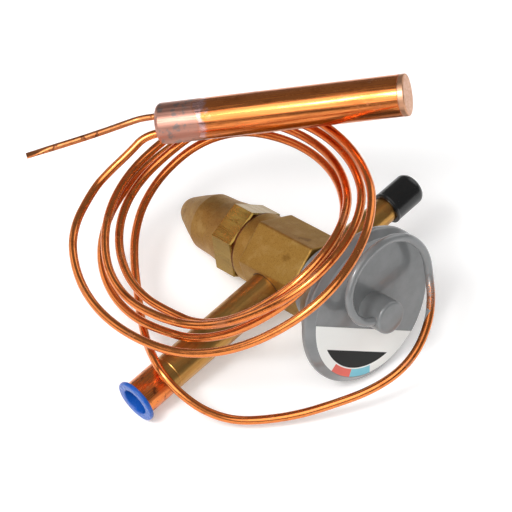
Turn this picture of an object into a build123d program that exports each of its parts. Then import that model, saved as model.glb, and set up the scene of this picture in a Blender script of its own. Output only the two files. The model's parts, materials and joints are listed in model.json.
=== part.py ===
from build123d import *
import os
from math import asin, atan, atan2, cos, floor, hypot, pi, radians, sin, sqrt, tan

os.makedirs("parts", exist_ok=True)

# Thermostatic expansion valve, lying on a flat surface, in millimetres, +Z up.
# The valve axis runs from the seal cap to the power element. Heights along it are
# measured from the axis of the outlet tube, which crosses it.

# Seat and the opening drive
port_radius = 2.0
seat_wall = 1.2
pin_gap = 0.05
pin_taper = 0.6
taper_below = 1.0
taper_above = 2.0
pin_shaft_radius = 1.5
rod_radius = 0.95
rod_clearance = 0.05
rod_seat_gap = 0.75
rod_wall = 0.65
carrier_margin = 0.95
carrier_thickness = 2.6
carrier_below_seat = 5.2
carrier_spigot_length = 1.5
guide_length = 6.0
guide_recess = 2.4
buffer_radius = 17.0
buffer_thickness = 1.4
buffer_gap = 0.4

# Body forging
web_thickness = 2.6
chamber_top = 3.0
carrier_clearance = 0.7
body_wall = 4.05
body_below = 11.7
body_top = 15.4
body_round = 1.0
body_turn = 30.0
collar_step = 0.4
collar_length = 6.3
collar_round = 0.8
plug_grip = 8.0
spigot_wall = 4.45
spigot_length = 6.6

# Superheat spring and its adjustment
spring_wire = 1.4
spring_inset = 1.4
spring_nose_gap = 0.5
spring_turns = 4.0
guide_clearance = 0.08
guide_thickness = 3.0
guide_lift = 2.0
guide_nose_length = 1.4
stem_radius = 3.0
stem_clearance = 0.05
stem_thread_past = 2.4
stem_collar_width = 1.6
stem_collar_gap = 0.25
stem_reach = 4.0
stem_square_length = 5.0
stem_square_cut = 0.9

# Bottom plug, packing and gland
plug_wall = 1.8
plug_pocket_depth = 10.0
plug_floor = 10.0
packing_wall = 2.2
packing_pocket = 6.0
gland_grip = 3.0
gland_land = 0.8
gland_head = 2.2

# Seal cap and its gasket
gasket_thickness = 0.8
gasket_gap = 0.3
gasket_width = 2.9
cap_wall = 2.72
cap_turn = 18.4
cap_hex_length = 9.8
cap_corner_chamfer = 0.5
cap_shoulder_step = 1.0
cap_shoulder_length = 6.8
cap_neck_length = 7.6
cap_neck_taper = 0.4
cap_dome_low_length = 5.5
cap_dome_low_step = 2.4
cap_dome_high_length = 6.0
cap_dome_high_step = 2.9
cap_tip_length = 2.0
cap_tip_step = 1.3
cap_round = 0.9
cap_bore_clearance = 0.08
cap_bore_past = 3.5
cap_inner_wall = 1.8
cap_floor_rise = 0.5

# Power element
element_gasket_thickness = 0.8
neck_wall = 2.8
neck_height = 2.3
thread_clearance = 0.05
shoulder_step = 2.2
shoulder_height = 2.5
cone_height = 12.8
sheet_wall = 1.5
spigot_gap = 0.5
flange_step = 1.2
flange_lip = 0.5
flange_thickness = 1.0
diaphragm_thickness = 0.25
rim_radius = 28.4
rim_fold = 1.4
rim_flat = 0.2
rim_height = 2.5
face_inset = 2.6
face_rise = 2.1
boss_radius = 6.0
boss_height = 10.1
boss_round = 1.2
boss_bore_radius = 1.5
entry_depth = 2.7
entry_turn = 20.0
boss_engagement = 2.7
boss_lead = 3.0
label_margin = 0.3
label_boss_gap = 1.8
label_turn = 46.5
label_thickness = 0.15

# Connections
outlet_od = 12.7
outlet_wall = 1.45
outlet_bore_bite = 0.5
socket_depth = 3.35
sleeve_length = 54.0
sleeve_ring_inset = 3.3
sleeve_ring_depth = 0.15
end_length = 11.3
end_spigot_length = 6.0
end_spigot_wall = 0.8
end_wall = 0.8
end_chamfer = 0.3
end_gap = 0.05
plug_lip = 1.65
flange_plug_thickness = 1.6
flange_plug_round = 0.3
insert_length = 10.0
insert_wall = 0.5
inlet_height = 9.1
inlet_od = 9.525
inlet_wall = 1.05
inlet_bore_bite = 0.3
inlet_length = 40.5
inlet_cap_depth = 12.5
inlet_cap_wall = 1.3375
inlet_cap_thickness = 1.9
inlet_cap_flat = 0.95
strainer_length = 14.0
strainer_wall = 0.5
strainer_taper = 1.5

# Sensing bulb, capillary and charging stub
bulb_radius = 7.3
bulb_length = 89.0
bulb_wall = 0.8
bulb_round = 1.6
bulb_disc_thickness = 2.4
bulb_groove = 0.5
bulb_start = (-46.6, 32.2, 57.2)
bulb_heading = -7.4
bulb_rise = 15.4
capillary_diameter = 3.0
capillary_margin = 0.2
capillary_lead = 6.0
stub_diameter = 2.3
stub_margin = 0.95
stub_lead = 5.0
pinch_width = 2.6
pinch_thickness = 0.9
pinch_length = 7.0

# Radii of the chambers and of what fits in and round them
insert_radius = port_radius + seat_wall
rod_offset = insert_radius + rod_seat_gap + rod_radius
inlet_chamber_radius = rod_offset + rod_radius + rod_wall
carrier_radius = rod_offset + rod_radius + carrier_margin
chamber_radius = carrier_radius + carrier_clearance
plug_radius = chamber_radius + plug_wall
body_flats = 2 * (plug_radius + body_wall)
collar_radius = body_flats / 2 - collar_step
spigot_radius = inlet_chamber_radius + spigot_wall
spring_mean_radius = carrier_radius - spring_inset
carrier_spigot_radius = spring_mean_radius - spring_wire / 2 - spring_nose_gap
guide_radius = chamber_radius - guide_clearance
stem_collar_radius = stem_radius + stem_collar_width
stem_square_side = 2 * (stem_radius - stem_square_cut)
packing_radius = stem_radius + packing_wall
gland_flats = 2 * (packing_radius + gland_land)
gasket_inner = plug_radius + gasket_gap
gasket_outer = gasket_inner + gasket_width
cap_flats = 2 * (plug_radius + cap_bore_clearance + cap_wall)
cap_shoulder_radius = cap_flats / 2 - cap_shoulder_step
cap_neck_radius = cap_shoulder_radius - cap_neck_taper
cap_dome_mid_radius = cap_neck_radius - cap_dome_low_step
cap_dome_top_radius = cap_dome_mid_radius - cap_dome_high_step
cap_end_radius = cap_dome_top_radius - cap_tip_step
cap_inner_radius = cap_dome_mid_radius - cap_inner_wall
neck_bore = spigot_radius + thread_clearance
neck_radius = neck_bore + neck_wall
cone_start_radius = neck_radius + shoulder_step
flange_radius = rim_radius - rim_fold
cone_end_radius = flange_radius - flange_lip
rim_round = rim_fold - rim_flat
face_edge_radius = rim_radius - face_inset
label_radius = face_edge_radius - label_margin
label_chord = boss_radius + label_boss_gap

# Heights on the valve axis below the outlet tube
carrier_top = chamber_top - carrier_below_seat
carrier_bottom = carrier_top - carrier_thickness
body_bottom = -body_below
collar_end = body_bottom - collar_length
cap_top = collar_end - gasket_thickness
plug_seat_end = collar_end + plug_grip
plug_pocket_floor = plug_seat_end - plug_pocket_depth
plug_end = plug_pocket_floor - plug_floor
guide_low = plug_pocket_floor + guide_lift
stem_thread_end = guide_low + guide_thickness + stem_thread_past
stem_square_start = plug_end - stem_reach
stem_end = stem_square_start - stem_square_length
packing_top = plug_end + packing_pocket
gland_top = plug_end + gland_grip
cap_hex_end = cap_top - cap_hex_length
cap_shoulder_end = cap_hex_end - cap_shoulder_length
cap_dome_start = cap_shoulder_end - cap_neck_length
cap_dome_mid = cap_dome_start - cap_dome_low_length
cap_dome_top = cap_dome_mid - cap_dome_high_length
cap_end = cap_dome_top - cap_tip_length
cap_bore_floor = plug_end - cap_bore_past
cap_inner_floor = cap_dome_mid + cap_floor_rise

# Heights above it
web_top = chamber_top + web_thickness
spigot_top = body_top + spigot_length
guide_top = spigot_top - guide_recess
guide_bottom = guide_top - guide_length
neck_bottom = body_top + element_gasket_thickness
neck_top = neck_bottom + neck_height
cone_start = neck_top + shoulder_height
cone_end = cone_start + cone_height
flange_bottom = cone_end + flange_step
flange_top = flange_bottom + flange_thickness
buffer_top = flange_top - buffer_gap
buffer_bottom = buffer_top - buffer_thickness
rim_top = flange_bottom + rim_height
face_height = rim_top + face_rise
entry_height = face_height + boss_height - entry_depth

# Lengths and radii of the tubes, their plug and their cap
socket_start = body_flats / 2 - socket_depth
outlet_radius = outlet_od / 2
outlet_bore = outlet_radius - outlet_wall
outlet_bore_start = chamber_radius - outlet_bore_bite
sleeve_end = socket_start + sleeve_length
sleeve_ring = sleeve_end - sleeve_ring_inset
sleeve_counterbore = sleeve_end - end_spigot_length
end_spigot = outlet_bore + end_spigot_wall
end_bore = outlet_radius - end_wall
outlet_end_face = sleeve_end + end_length
sleeve_ring_width = 2 * sleeve_ring_depth
flange_plug_radius = outlet_radius + plug_lip
inlet_radius = inlet_od / 2
inlet_bore = inlet_radius - inlet_wall
inlet_bore_start = inlet_chamber_radius - inlet_bore_bite
inlet_end_face = socket_start + inlet_length
inlet_cap_mouth = inlet_end_face - inlet_cap_depth
inlet_cap_radius = inlet_radius + end_gap + inlet_cap_wall
inlet_cap_end = inlet_end_face + inlet_cap_thickness
inlet_cap_round = inlet_cap_radius - inlet_cap_flat
capillary_drop = bulb_radius - bulb_round - capillary_diameter / 2 - capillary_margin
stub_lift = bulb_radius - bulb_round - stub_diameter / 2 - stub_margin

# Rest stance: the element's rim, a corner of the seal cap and the outlet plug's flange touch the floor.
rim_contact_height = flange_bottom + rim_round
rim_contact_radius = rim_radius - rim_round
cap_corner_radius = cap_flats / sqrt(3)
span = rim_contact_height - cap_hex_end
drop = rim_contact_radius - cap_corner_radius
lean = asin(rim_round / hypot(span, drop)) + atan(drop / span)
axis_height = cap_corner_radius * cos(lean) - cap_hex_end * sin(lean)
outlet_reach = outlet_end_face + flange_plug_thickness
flange_reach = outlet_reach - flange_plug_round
flange_contact = flange_plug_radius - flange_plug_round
dip = asin((axis_height - flange_plug_round) / hypot(flange_reach, flange_contact)) - atan(
    flange_contact / flange_reach
)

# Directions: towards the element, along the outlet tube, and the third one at right angles.
valve_heading = radians(-47.46)
ahead = Vector(cos(valve_heading), sin(valve_heading), 0)
across = Vector(-sin(valve_heading), cos(valve_heading), 0)
axis_way = ahead * cos(lean) + Vector(0, 0, sin(lean))
outlet_fore = sin(dip) * tan(lean)
outlet_side = -sqrt(1 - outlet_fore**2 - sin(dip) ** 2)
outlet_way = ahead * outlet_fore + across * outlet_side - Vector(0, 0, sin(dip))
side_way = outlet_way.cross(axis_way)


def reach(direction, way, height, radius, rounding):
    """How far a rounded disc centred at height along way reaches in a world direction."""
    along = direction.dot(way)
    return height * along + radius * sqrt(1 - along**2) + rounding


# How much of a corner the roundings of the rim and of the seal cap's tip take
rim_cut = rim_round * tan(atan2(face_inset, face_rise) / 2)
tip_cut = cap_round * tan(atan2(cap_tip_length, cap_tip_step) / 2)

# The origin lies under the middle of the valve's own box, so the valve axis starts at this foot point.
west = reach(Vector(-1, 0, 0), outlet_way, flange_reach, flange_contact, flange_plug_round)
south = reach(Vector(0, -1, 0), outlet_way, flange_reach, flange_contact, flange_plug_round)
east = reach(Vector(1, 0, 0), axis_way, rim_top - rim_cut, rim_contact_radius, rim_round)
north = reach(Vector(0, 1, 0), axis_way, cap_end + cap_round, cap_end_radius - tip_cut, cap_round)
foot = Vector((west - east) / 2, (south - north) / 2, 0)
centre = foot + Vector(0, 0, axis_height)

# Placing planes
valve = Plane(origin=centre, x_dir=outlet_way, z_dir=axis_way)
section = Plane(origin=centre, x_dir=outlet_way, z_dir=side_way)
outlet = Plane(origin=centre, x_dir=axis_way, z_dir=outlet_way)
inlet_centre = centre + axis_way * inlet_height
inlet = Plane(origin=inlet_centre, x_dir=axis_way, z_dir=-outlet_way)
valve_axis = Axis(centre, axis_way)
outlet_axis = Axis(centre, outlet_way)
inlet_axis = Axis(inlet_centre, -outlet_way)


# Body forging: a hexagon with a round collar, bored from both ends, with a socket for each tube
with BuildPart() as valve_body:
    with BuildSketch(valve.offset(body_bottom)):
        RegularPolygon(radius=body_flats / 2, side_count=6, major_radius=False, rotation=body_turn)
    extrude(amount=body_top - body_bottom)
    fillet(valve_body.edges().filter_by(valve_axis), body_round)
    fillet(valve_body.faces().sort_by(valve_axis)[-1].edges(), body_round / 2)
    with BuildSketch(valve.offset(collar_end)):
        Circle(collar_radius)
    extrude(amount=body_bottom - collar_end)
    fillet(valve_body.faces().sort_by(valve_axis)[0].edges(), collar_round)
    with BuildSketch(valve.offset(body_top)):
        Circle(spigot_radius)
    extrude(amount=spigot_top - body_top)
    with BuildSketch(valve.offset(collar_end)):
        Circle(plug_radius)
    extrude(amount=plug_seat_end - collar_end, mode=Mode.SUBTRACT)
    with BuildSketch(valve.offset(plug_seat_end)):
        Circle(chamber_radius)
    extrude(amount=chamber_top - plug_seat_end, mode=Mode.SUBTRACT)
    with BuildSketch(valve.offset(chamber_top)):
        Circle(insert_radius)
        with Locations((0, rod_offset), (0, -rod_offset)):
            Circle(rod_radius + rod_clearance)
    extrude(amount=web_top - chamber_top, mode=Mode.SUBTRACT)
    with BuildSketch(valve.offset(web_top)):
        Circle(inlet_chamber_radius)
    extrude(amount=spigot_top - web_top, mode=Mode.SUBTRACT)
    with BuildSketch(outlet.offset(outlet_bore_start)):
        Circle(outlet_bore)
    extrude(amount=socket_start - outlet_bore_start, mode=Mode.SUBTRACT)
    with BuildSketch(outlet.offset(socket_start)):
        Circle(outlet_radius)
    extrude(amount=body_flats / 2, mode=Mode.SUBTRACT)
    with BuildSketch(inlet.offset(inlet_bore_start)):
        Circle(inlet_bore)
    extrude(amount=socket_start - inlet_bore_start, mode=Mode.SUBTRACT)
    with BuildSketch(inlet.offset(socket_start)):
        Circle(inlet_radius)
    extrude(amount=body_flats / 2, mode=Mode.SUBTRACT)
valve_body.part.label = "valve_body"
export_step(valve_body.part, "parts/valve_body.step")

# Hard seat pressed into the web, with the port that the pin closes
with BuildPart() as seat_insert:
    with BuildSketch(valve.offset(chamber_top)):
        Circle(insert_radius)
        Circle(port_radius, mode=Mode.SUBTRACT)
    extrude(amount=web_top - chamber_top)
seat_insert.part.label = "seat_insert"
export_step(seat_insert.part, "parts/seat_insert.step")

# Guide above the inlet chamber, which keeps the two rods in line
with BuildPart() as rod_guide:
    with BuildSketch(valve.offset(guide_bottom)):
        Circle(inlet_chamber_radius)
        with Locations((0, rod_offset), (0, -rod_offset)):
            Circle(rod_radius + rod_clearance, mode=Mode.SUBTRACT)
    extrude(amount=guide_top - guide_bottom)
rod_guide.part.label = "rod_guide"
export_step(rod_guide.part, "parts/rod_guide.step")

# Carrier under the seat: a disc with a nose that centres the spring and a blind hole for the pin
pin_foot = carrier_bottom + pin_shaft_radius / 2
with BuildPart() as pin_carrier:
    with BuildSketch(valve.offset(carrier_bottom)):
        Circle(carrier_radius)
    extrude(amount=carrier_top - carrier_bottom)
    with BuildSketch(valve.offset(carrier_bottom - carrier_spigot_length)):
        Circle(carrier_spigot_radius)
    extrude(amount=carrier_spigot_length)
    with BuildSketch(valve.offset(pin_foot)):
        Circle(pin_shaft_radius)
    extrude(amount=carrier_top - pin_foot, mode=Mode.SUBTRACT)
pin_carrier.part.label = "pin_carrier"
export_step(pin_carrier.part, "parts/pin_carrier.step")

# Valve pin: a shaft with a taper that fills the port when the valve is shut
taper_low = chamber_top - taper_below
taper_high = chamber_top + taper_above
with BuildPart() as valve_pin:
    with BuildSketch(section):
        with BuildLine():
            Polyline(
                (0, pin_foot),
                (pin_shaft_radius, pin_foot),
                (pin_shaft_radius, taper_low - taper_below),
                (port_radius - pin_gap + pin_taper * (chamber_top - taper_low), taper_low),
                (port_radius - pin_gap - pin_taper * (taper_high - chamber_top), taper_high),
                (0, taper_high),
                close=True,
            )
        make_face()
    revolve(axis=valve_axis)
valve_pin.part.label = "valve_pin"
export_step(valve_pin.part, "parts/valve_pin.step")

# Two push rods from the carrier to the buffer plate
with BuildPart() as push_rods:
    with BuildSketch(valve.offset(carrier_top)):
        with Locations((0, rod_offset), (0, -rod_offset)):
            Circle(rod_radius)
    extrude(amount=buffer_bottom - carrier_top)
push_rods.part.label = "push_rods"
export_step(push_rods.part, "parts/push_rods.step")

# Buffer plate, which the diaphragm presses on
with BuildPart() as buffer_plate:
    with BuildSketch(valve.offset(buffer_bottom)):
        Circle(buffer_radius)
    extrude(amount=buffer_top - buffer_bottom)
    chamfer(buffer_plate.faces().sort_by(valve_axis)[0].edges(), (buffer_top - buffer_bottom) / 3)
buffer_plate.part.label = "buffer_plate"
export_step(buffer_plate.part, "parts/buffer_plate.step")

# Spring guide: a disc threaded on the adjusting stem, with a nose inside the spring
with BuildPart() as spring_guide:
    with BuildSketch(valve.offset(guide_low)):
        Circle(guide_radius)
    extrude(amount=guide_thickness)
    with BuildSketch(valve.offset(guide_low + guide_thickness)):
        Circle(carrier_spigot_radius)
    extrude(amount=guide_nose_length)
    with BuildSketch(valve.offset(guide_low)):
        Circle(stem_radius + stem_clearance)
    extrude(amount=guide_thickness + guide_nose_length, mode=Mode.SUBTRACT)
spring_guide.part.label = "spring_guide"
export_step(spring_guide.part, "parts/spring_guide.step")

# Superheat spring between the guide and the carrier
spring_low = guide_low + guide_thickness + spring_wire / 2
spring_height = carrier_bottom - spring_wire / 2 - spring_low
with BuildPart() as superheat_spring:
    with BuildLine() as spring_line:
        Helix(
            pitch=spring_height / spring_turns,
            height=spring_height,
            radius=spring_mean_radius,
            center=centre + axis_way * spring_low,
            direction=axis_way,
        )
    with BuildSketch(Plane(origin=spring_line.line @ 0, z_dir=spring_line.line % 0)):
        Circle(spring_wire / 2)
    sweep(path=spring_line.line, is_frenet=True)
superheat_spring.part.label = "superheat_spring"
export_step(superheat_spring.part, "parts/superheat_spring.step")

# Bottom plug, screwed into the collar: it holds the stem, and the seal cap screws onto it
with BuildPart() as bottom_plug:
    with BuildSketch(valve.offset(plug_end)):
        Circle(plug_radius)
    extrude(amount=plug_seat_end - plug_end)
    with BuildSketch(valve.offset(plug_pocket_floor)):
        Circle(chamber_radius)
    extrude(amount=plug_seat_end - plug_pocket_floor, mode=Mode.SUBTRACT)
    with BuildSketch(valve.offset(plug_end)):
        Circle(stem_radius + stem_clearance)
    extrude(amount=plug_pocket_floor - plug_end, mode=Mode.SUBTRACT)
    with BuildSketch(valve.offset(plug_end)):
        Circle(packing_radius)
    extrude(amount=packing_top - plug_end, mode=Mode.SUBTRACT)
bottom_plug.part.label = "bottom_plug"
export_step(bottom_plug.part, "parts/bottom_plug.step")

# Packing ring and the gland nut that squeezes it round the stem
with BuildPart() as stem_packing:
    with BuildSketch(valve.offset(gland_top)):
        Circle(packing_radius)
        Circle(stem_radius + stem_clearance, mode=Mode.SUBTRACT)
    extrude(amount=packing_top - gland_top)
stem_packing.part.label = "stem_packing"
export_step(stem_packing.part, "parts/stem_packing.step")

with BuildPart() as gland_nut:
    with BuildSketch(valve.offset(plug_end)):
        Circle(packing_radius)
    extrude(amount=gland_top - plug_end)
    with BuildSketch(valve.offset(plug_end - gland_head)):
        RegularPolygon(radius=gland_flats / 2, side_count=6, major_radius=False)
    extrude(amount=gland_head)
    with BuildSketch(valve.offset(plug_end - gland_head)):
        Circle(stem_radius + stem_clearance)
    extrude(amount=gland_head + gland_top - plug_end, mode=Mode.SUBTRACT)
gland_nut.part.label = "gland_nut"
export_step(gland_nut.part, "parts/gland_nut.step")

# Adjusting stem with a square end for a key and a collar that bears on the pocket's floor
stem_collar_low = plug_pocket_floor + stem_clearance
stem_collar_high = guide_low - stem_collar_gap
with BuildPart() as adjusting_stem:
    with BuildSketch(valve.offset(stem_square_start)):
        Circle(stem_radius)
    extrude(amount=stem_thread_end - stem_square_start)
    with BuildSketch(valve.offset(stem_collar_low)):
        Circle(stem_collar_radius)
    extrude(amount=stem_collar_high - stem_collar_low)
    with BuildSketch(valve.offset(stem_end)):
        Rectangle(stem_square_side, stem_square_side)
    extrude(amount=stem_square_start - stem_end)
adjusting_stem.part.label = "adjusting_stem"
export_step(adjusting_stem.part, "parts/adjusting_stem.step")

# Sealing ring between the collar and the seal cap
with BuildPart() as cap_gasket:
    with BuildSketch(valve.offset(cap_top)):
        Circle(gasket_outer)
        Circle(gasket_inner, mode=Mode.SUBTRACT)
    extrude(amount=gasket_thickness)
cap_gasket.part.label = "cap_gasket"
export_step(cap_gasket.part, "parts/cap_gasket.step")

# Seal cap: a machined hexagon with a cast dome behind it, hollow over the plug and the stem
with BuildPart() as seal_cap:
    with BuildSketch(valve.offset(cap_hex_end)):
        RegularPolygon(radius=cap_corner_radius, side_count=6, rotation=cap_turn)
    extrude(amount=cap_top - cap_hex_end)
    chamfer(seal_cap.faces().sort_by(valve_axis)[-1].edges(), cap_corner_chamfer)
    with BuildSketch(section):
        with BuildLine():
            Polyline(
                (0, cap_hex_end),
                (cap_flats / 2, cap_hex_end),
                (cap_shoulder_radius, cap_shoulder_end),
                (cap_neck_radius, cap_dome_start),
                (cap_dome_mid_radius, cap_dome_mid),
                (cap_dome_top_radius, cap_dome_top),
                (cap_end_radius, cap_end),
                (0, cap_end),
                close=True,
            )
        make_face()
    revolve(axis=valve_axis)
    fillet(seal_cap.faces().sort_by(valve_axis)[0].edges(), cap_round)
    with BuildSketch(valve.offset(cap_bore_floor)):
        Circle(plug_radius + cap_bore_clearance)
    extrude(amount=cap_top - cap_bore_floor, mode=Mode.SUBTRACT)
    with BuildSketch(valve.offset(cap_inner_floor)):
        Circle(cap_inner_radius)
    extrude(amount=cap_bore_floor - cap_inner_floor, mode=Mode.SUBTRACT)
seal_cap.part.label = "seal_cap"
export_step(seal_cap.part, "parts/seal_cap.step")

# Power element: gasket, pressed lower shell with its screwed neck, diaphragm and upper cover
with BuildPart() as element_gasket:
    with BuildSketch(valve.offset(body_top)):
        Circle(body_flats / 2 - body_round)
        Circle(neck_bore, mode=Mode.SUBTRACT)
    extrude(amount=element_gasket_thickness)
element_gasket.part.label = "element_gasket"
export_step(element_gasket.part, "parts/element_gasket.step")

cone_slope = (cone_end_radius - cone_start_radius) / (cone_end - cone_start)
wall_shift = sheet_wall * sqrt(1 + cone_slope**2)
floor_height = spigot_top + spigot_gap
inner_cone_start = cone_start_radius - wall_shift + cone_slope * (floor_height - cone_start)
inner_cone_end = cone_end_radius - wall_shift + cone_slope * (flange_bottom - cone_end)
with BuildPart() as element_base:
    with BuildSketch(section):
        with BuildLine():
            Polyline(
                (neck_bore, neck_bottom),
                (neck_radius, neck_bottom),
                (neck_radius, neck_top),
                (cone_start_radius, cone_start),
                (cone_end_radius, cone_end),
                (flange_radius, flange_bottom),
                (flange_radius, flange_top),
                (inner_cone_end, flange_top),
                (inner_cone_end, flange_bottom),
                (inner_cone_start, floor_height),
                (neck_bore, floor_height),
                close=True,
            )
        make_face()
    revolve(axis=valve_axis)
element_base.part.label = "element_base"
export_step(element_base.part, "parts/element_base.step")

with BuildPart() as diaphragm:
    with BuildSketch(valve.offset(flange_top)):
        Circle(flange_radius)
    extrude(amount=diaphragm_thickness)
diaphragm.part.label = "diaphragm"
export_step(diaphragm.part, "parts/diaphragm.step")

with BuildPart() as element_cover:
    with BuildSketch(section) as cover_profile:
        with BuildLine():
            Polyline(
                (boss_bore_radius, face_height - sheet_wall),
                (inner_cone_end, face_height - sheet_wall),
                (inner_cone_end, flange_top + diaphragm_thickness),
                (flange_radius, flange_top + diaphragm_thickness),
                (flange_radius, flange_bottom),
                (rim_radius, flange_bottom),
                (rim_radius, rim_top),
                (face_edge_radius, face_height),
                (boss_bore_radius, face_height),
                close=True,
            )
        make_face()
        rim_corners = cover_profile.vertices().group_by(Axis.X)[-1]
        fillet(rim_corners, rim_round)
    revolve(axis=valve_axis)
element_cover.part.label = "element_cover"
export_step(element_cover.part, "parts/element_cover.step")

# Capillary boss on the cover, bored from below and from one side
entry_way = outlet_way * cos(radians(entry_turn)) + side_way * sin(radians(entry_turn))
entry = Plane(origin=centre + axis_way * entry_height, z_dir=entry_way)
with BuildPart() as capillary_boss:
    with BuildSketch(valve.offset(face_height)):
        Circle(boss_radius)
    extrude(amount=boss_height)
    fillet(capillary_boss.faces().sort_by(valve_axis)[-1].edges(), boss_round)
    with BuildSketch(valve.offset(face_height)):
        Circle(boss_bore_radius)
    extrude(amount=entry_height - face_height, mode=Mode.SUBTRACT)
    with BuildSketch(entry):
        Circle(capillary_diameter / 2)
    extrude(amount=boss_radius, mode=Mode.SUBTRACT)
capillary_boss.part.label = "capillary_boss"
export_step(capillary_boss.part, "parts/capillary_boss.step")

# Label: a round segment stuck on the cover's face
label_way = outlet_way * cos(radians(label_turn)) - side_way * sin(radians(label_turn))
label_plane = Plane(origin=centre + axis_way * face_height, x_dir=label_way, z_dir=axis_way)
with BuildPart() as element_label:
    with BuildSketch(label_plane):
        Circle(label_radius)
        with Locations((label_chord, 0)):
            Rectangle(
                2 * label_radius,
                2 * label_radius,
                align=(Align.MAX, Align.CENTER),
                mode=Mode.SUBTRACT,
            )
    extrude(amount=label_thickness)
element_label.part.label = "element_label"
export_step(element_label.part, "parts/element_label.step")

# Outlet: a brass sleeve in the body's socket, a copper end swaged into it and a plastic plug
with BuildPart() as outlet_sleeve:
    with BuildSketch(section):
        with BuildLine():
            Polyline(
                (socket_start, outlet_bore),
                (socket_start, outlet_radius),
                (sleeve_ring - sleeve_ring_width, outlet_radius),
                (sleeve_ring, outlet_radius - sleeve_ring_depth),
                (sleeve_ring + sleeve_ring_width, outlet_radius),
                (sleeve_end, outlet_radius),
                (sleeve_end, end_spigot),
                (sleeve_counterbore, end_spigot),
                (sleeve_counterbore, outlet_bore),
                close=True,
            )
        make_face()
    revolve(axis=outlet_axis)
outlet_sleeve.part.label = "outlet_sleeve"
export_step(outlet_sleeve.part, "parts/outlet_sleeve.step")

with BuildPart() as outlet_end:
    with BuildSketch(section):
        with BuildLine():
            Polyline(
                (sleeve_counterbore, outlet_bore),
                (sleeve_counterbore, end_spigot),
                (sleeve_end, end_spigot),
                (sleeve_end, outlet_radius),
                (outlet_end_face - end_chamfer, outlet_radius),
                (outlet_end_face, outlet_radius - end_chamfer),
                (outlet_end_face, end_bore),
                (sleeve_end + end_wall, end_bore),
                (sleeve_end, outlet_bore),
                close=True,
            )
        make_face()
    revolve(axis=outlet_axis)
outlet_end.part.label = "outlet_end"
export_step(outlet_end.part, "parts/outlet_end.step")

plug_insert_radius = end_bore - end_gap
insert_start = outlet_end_face - insert_length
with BuildPart() as outlet_plug:
    with BuildSketch(outlet.offset(outlet_end_face)):
        Circle(flange_plug_radius)
    extrude(amount=flange_plug_thickness)
    fillet(outlet_plug.edges(), flange_plug_round)
    with BuildSketch(outlet.offset(insert_start)):
        Circle(plug_insert_radius)
    extrude(amount=insert_length + flange_plug_thickness / 2)
    with BuildSketch(outlet.offset(insert_start + insert_wall)):
        Circle(plug_insert_radius - insert_wall)
    extrude(amount=insert_length + flange_plug_thickness, mode=Mode.SUBTRACT)
outlet_plug.part.label = "outlet_plug"
export_step(outlet_plug.part, "parts/outlet_plug.step")

# Inlet: a short tube with a strainer cup in its bore, and a soft cap over its end
with BuildPart() as inlet_tube:
    with BuildSketch(inlet.offset(socket_start)):
        Circle(inlet_radius)
        Circle(inlet_bore, mode=Mode.SUBTRACT)
    extrude(amount=inlet_end_face - socket_start)
inlet_tube.part.label = "inlet_tube"
export_step(inlet_tube.part, "parts/inlet_tube.step")

with BuildPart() as inlet_strainer:
    with BuildSketch(inlet.offset(socket_start)):
        Circle(inlet_bore)
    extrude(amount=strainer_length, taper=strainer_taper)
    with BuildSketch(inlet.offset(socket_start)):
        Circle(inlet_bore - strainer_wall)
    extrude(amount=strainer_length - strainer_wall, taper=strainer_taper, mode=Mode.SUBTRACT)
inlet_strainer.part.label = "inlet_strainer"
export_step(inlet_strainer.part, "parts/inlet_strainer.step")

with BuildPart() as inlet_cap:
    with BuildSketch(inlet.offset(inlet_cap_mouth)):
        Circle(inlet_cap_radius)
    extrude(amount=inlet_cap_end - inlet_cap_mouth)
    fillet(inlet_cap.faces().sort_by(inlet_axis)[-1].edges(), inlet_cap_round)
    with BuildSketch(inlet.offset(inlet_cap_mouth)):
        Circle(inlet_radius + end_gap)
    extrude(amount=inlet_end_face - inlet_cap_mouth, mode=Mode.SUBTRACT)
inlet_cap.part.label = "inlet_cap"
export_step(inlet_cap.part, "parts/inlet_cap.step")

# Sensing bulb: a closed tube, a disc brazed in its far end, and two holes in its near end
bulb_origin = foot + Vector(*bulb_start)
bulb_way = Vector(
    cos(radians(bulb_rise)) * cos(radians(bulb_heading)),
    cos(radians(bulb_rise)) * sin(radians(bulb_heading)),
    sin(radians(bulb_rise)),
)
bulb_up = Vector(
    -sin(radians(bulb_rise)) * cos(radians(bulb_heading)),
    -sin(radians(bulb_rise)) * sin(radians(bulb_heading)),
    cos(radians(bulb_rise)),
)
bulb = Plane(origin=bulb_origin, x_dir=bulb_up, z_dir=bulb_way)
bulb_axis = Axis(bulb_origin, bulb_way)
bulb_disc_start = bulb_length - bulb_disc_thickness
with BuildPart() as bulb_shell:
    with BuildSketch(bulb):
        Circle(bulb_radius)
    extrude(amount=bulb_disc_start)
    fillet(bulb_shell.faces().sort_by(bulb_axis)[0].edges(), bulb_round)
    with BuildSketch(bulb.offset(bulb_wall)):
        Circle(bulb_radius - bulb_wall)
    extrude(amount=bulb_length, mode=Mode.SUBTRACT)
    with BuildSketch(bulb):
        with Locations((-capillary_drop, 0)):
            Circle(capillary_diameter / 2)
        with Locations((stub_lift, 0)):
            Circle(stub_diameter / 2)
    extrude(amount=bulb_wall, mode=Mode.SUBTRACT)
bulb_shell.part.label = "bulb_shell"
export_step(bulb_shell.part, "parts/bulb_shell.step")

with BuildPart() as bulb_end_disc:
    with BuildSketch(bulb.offset(bulb_disc_start)):
        Circle(bulb_radius - bulb_groove)
    extrude(amount=bulb_groove)
    with BuildSketch(bulb.offset(bulb_disc_start + bulb_groove)):
        Circle(bulb_radius)
    extrude(amount=bulb_disc_thickness - bulb_groove)
    fillet(bulb_end_disc.faces().sort_by(bulb_axis)[-1].edges(), bulb_groove)
bulb_end_disc.part.label = "bulb_end_disc"
export_step(bulb_end_disc.part, "parts/bulb_end_disc.step")


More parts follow.
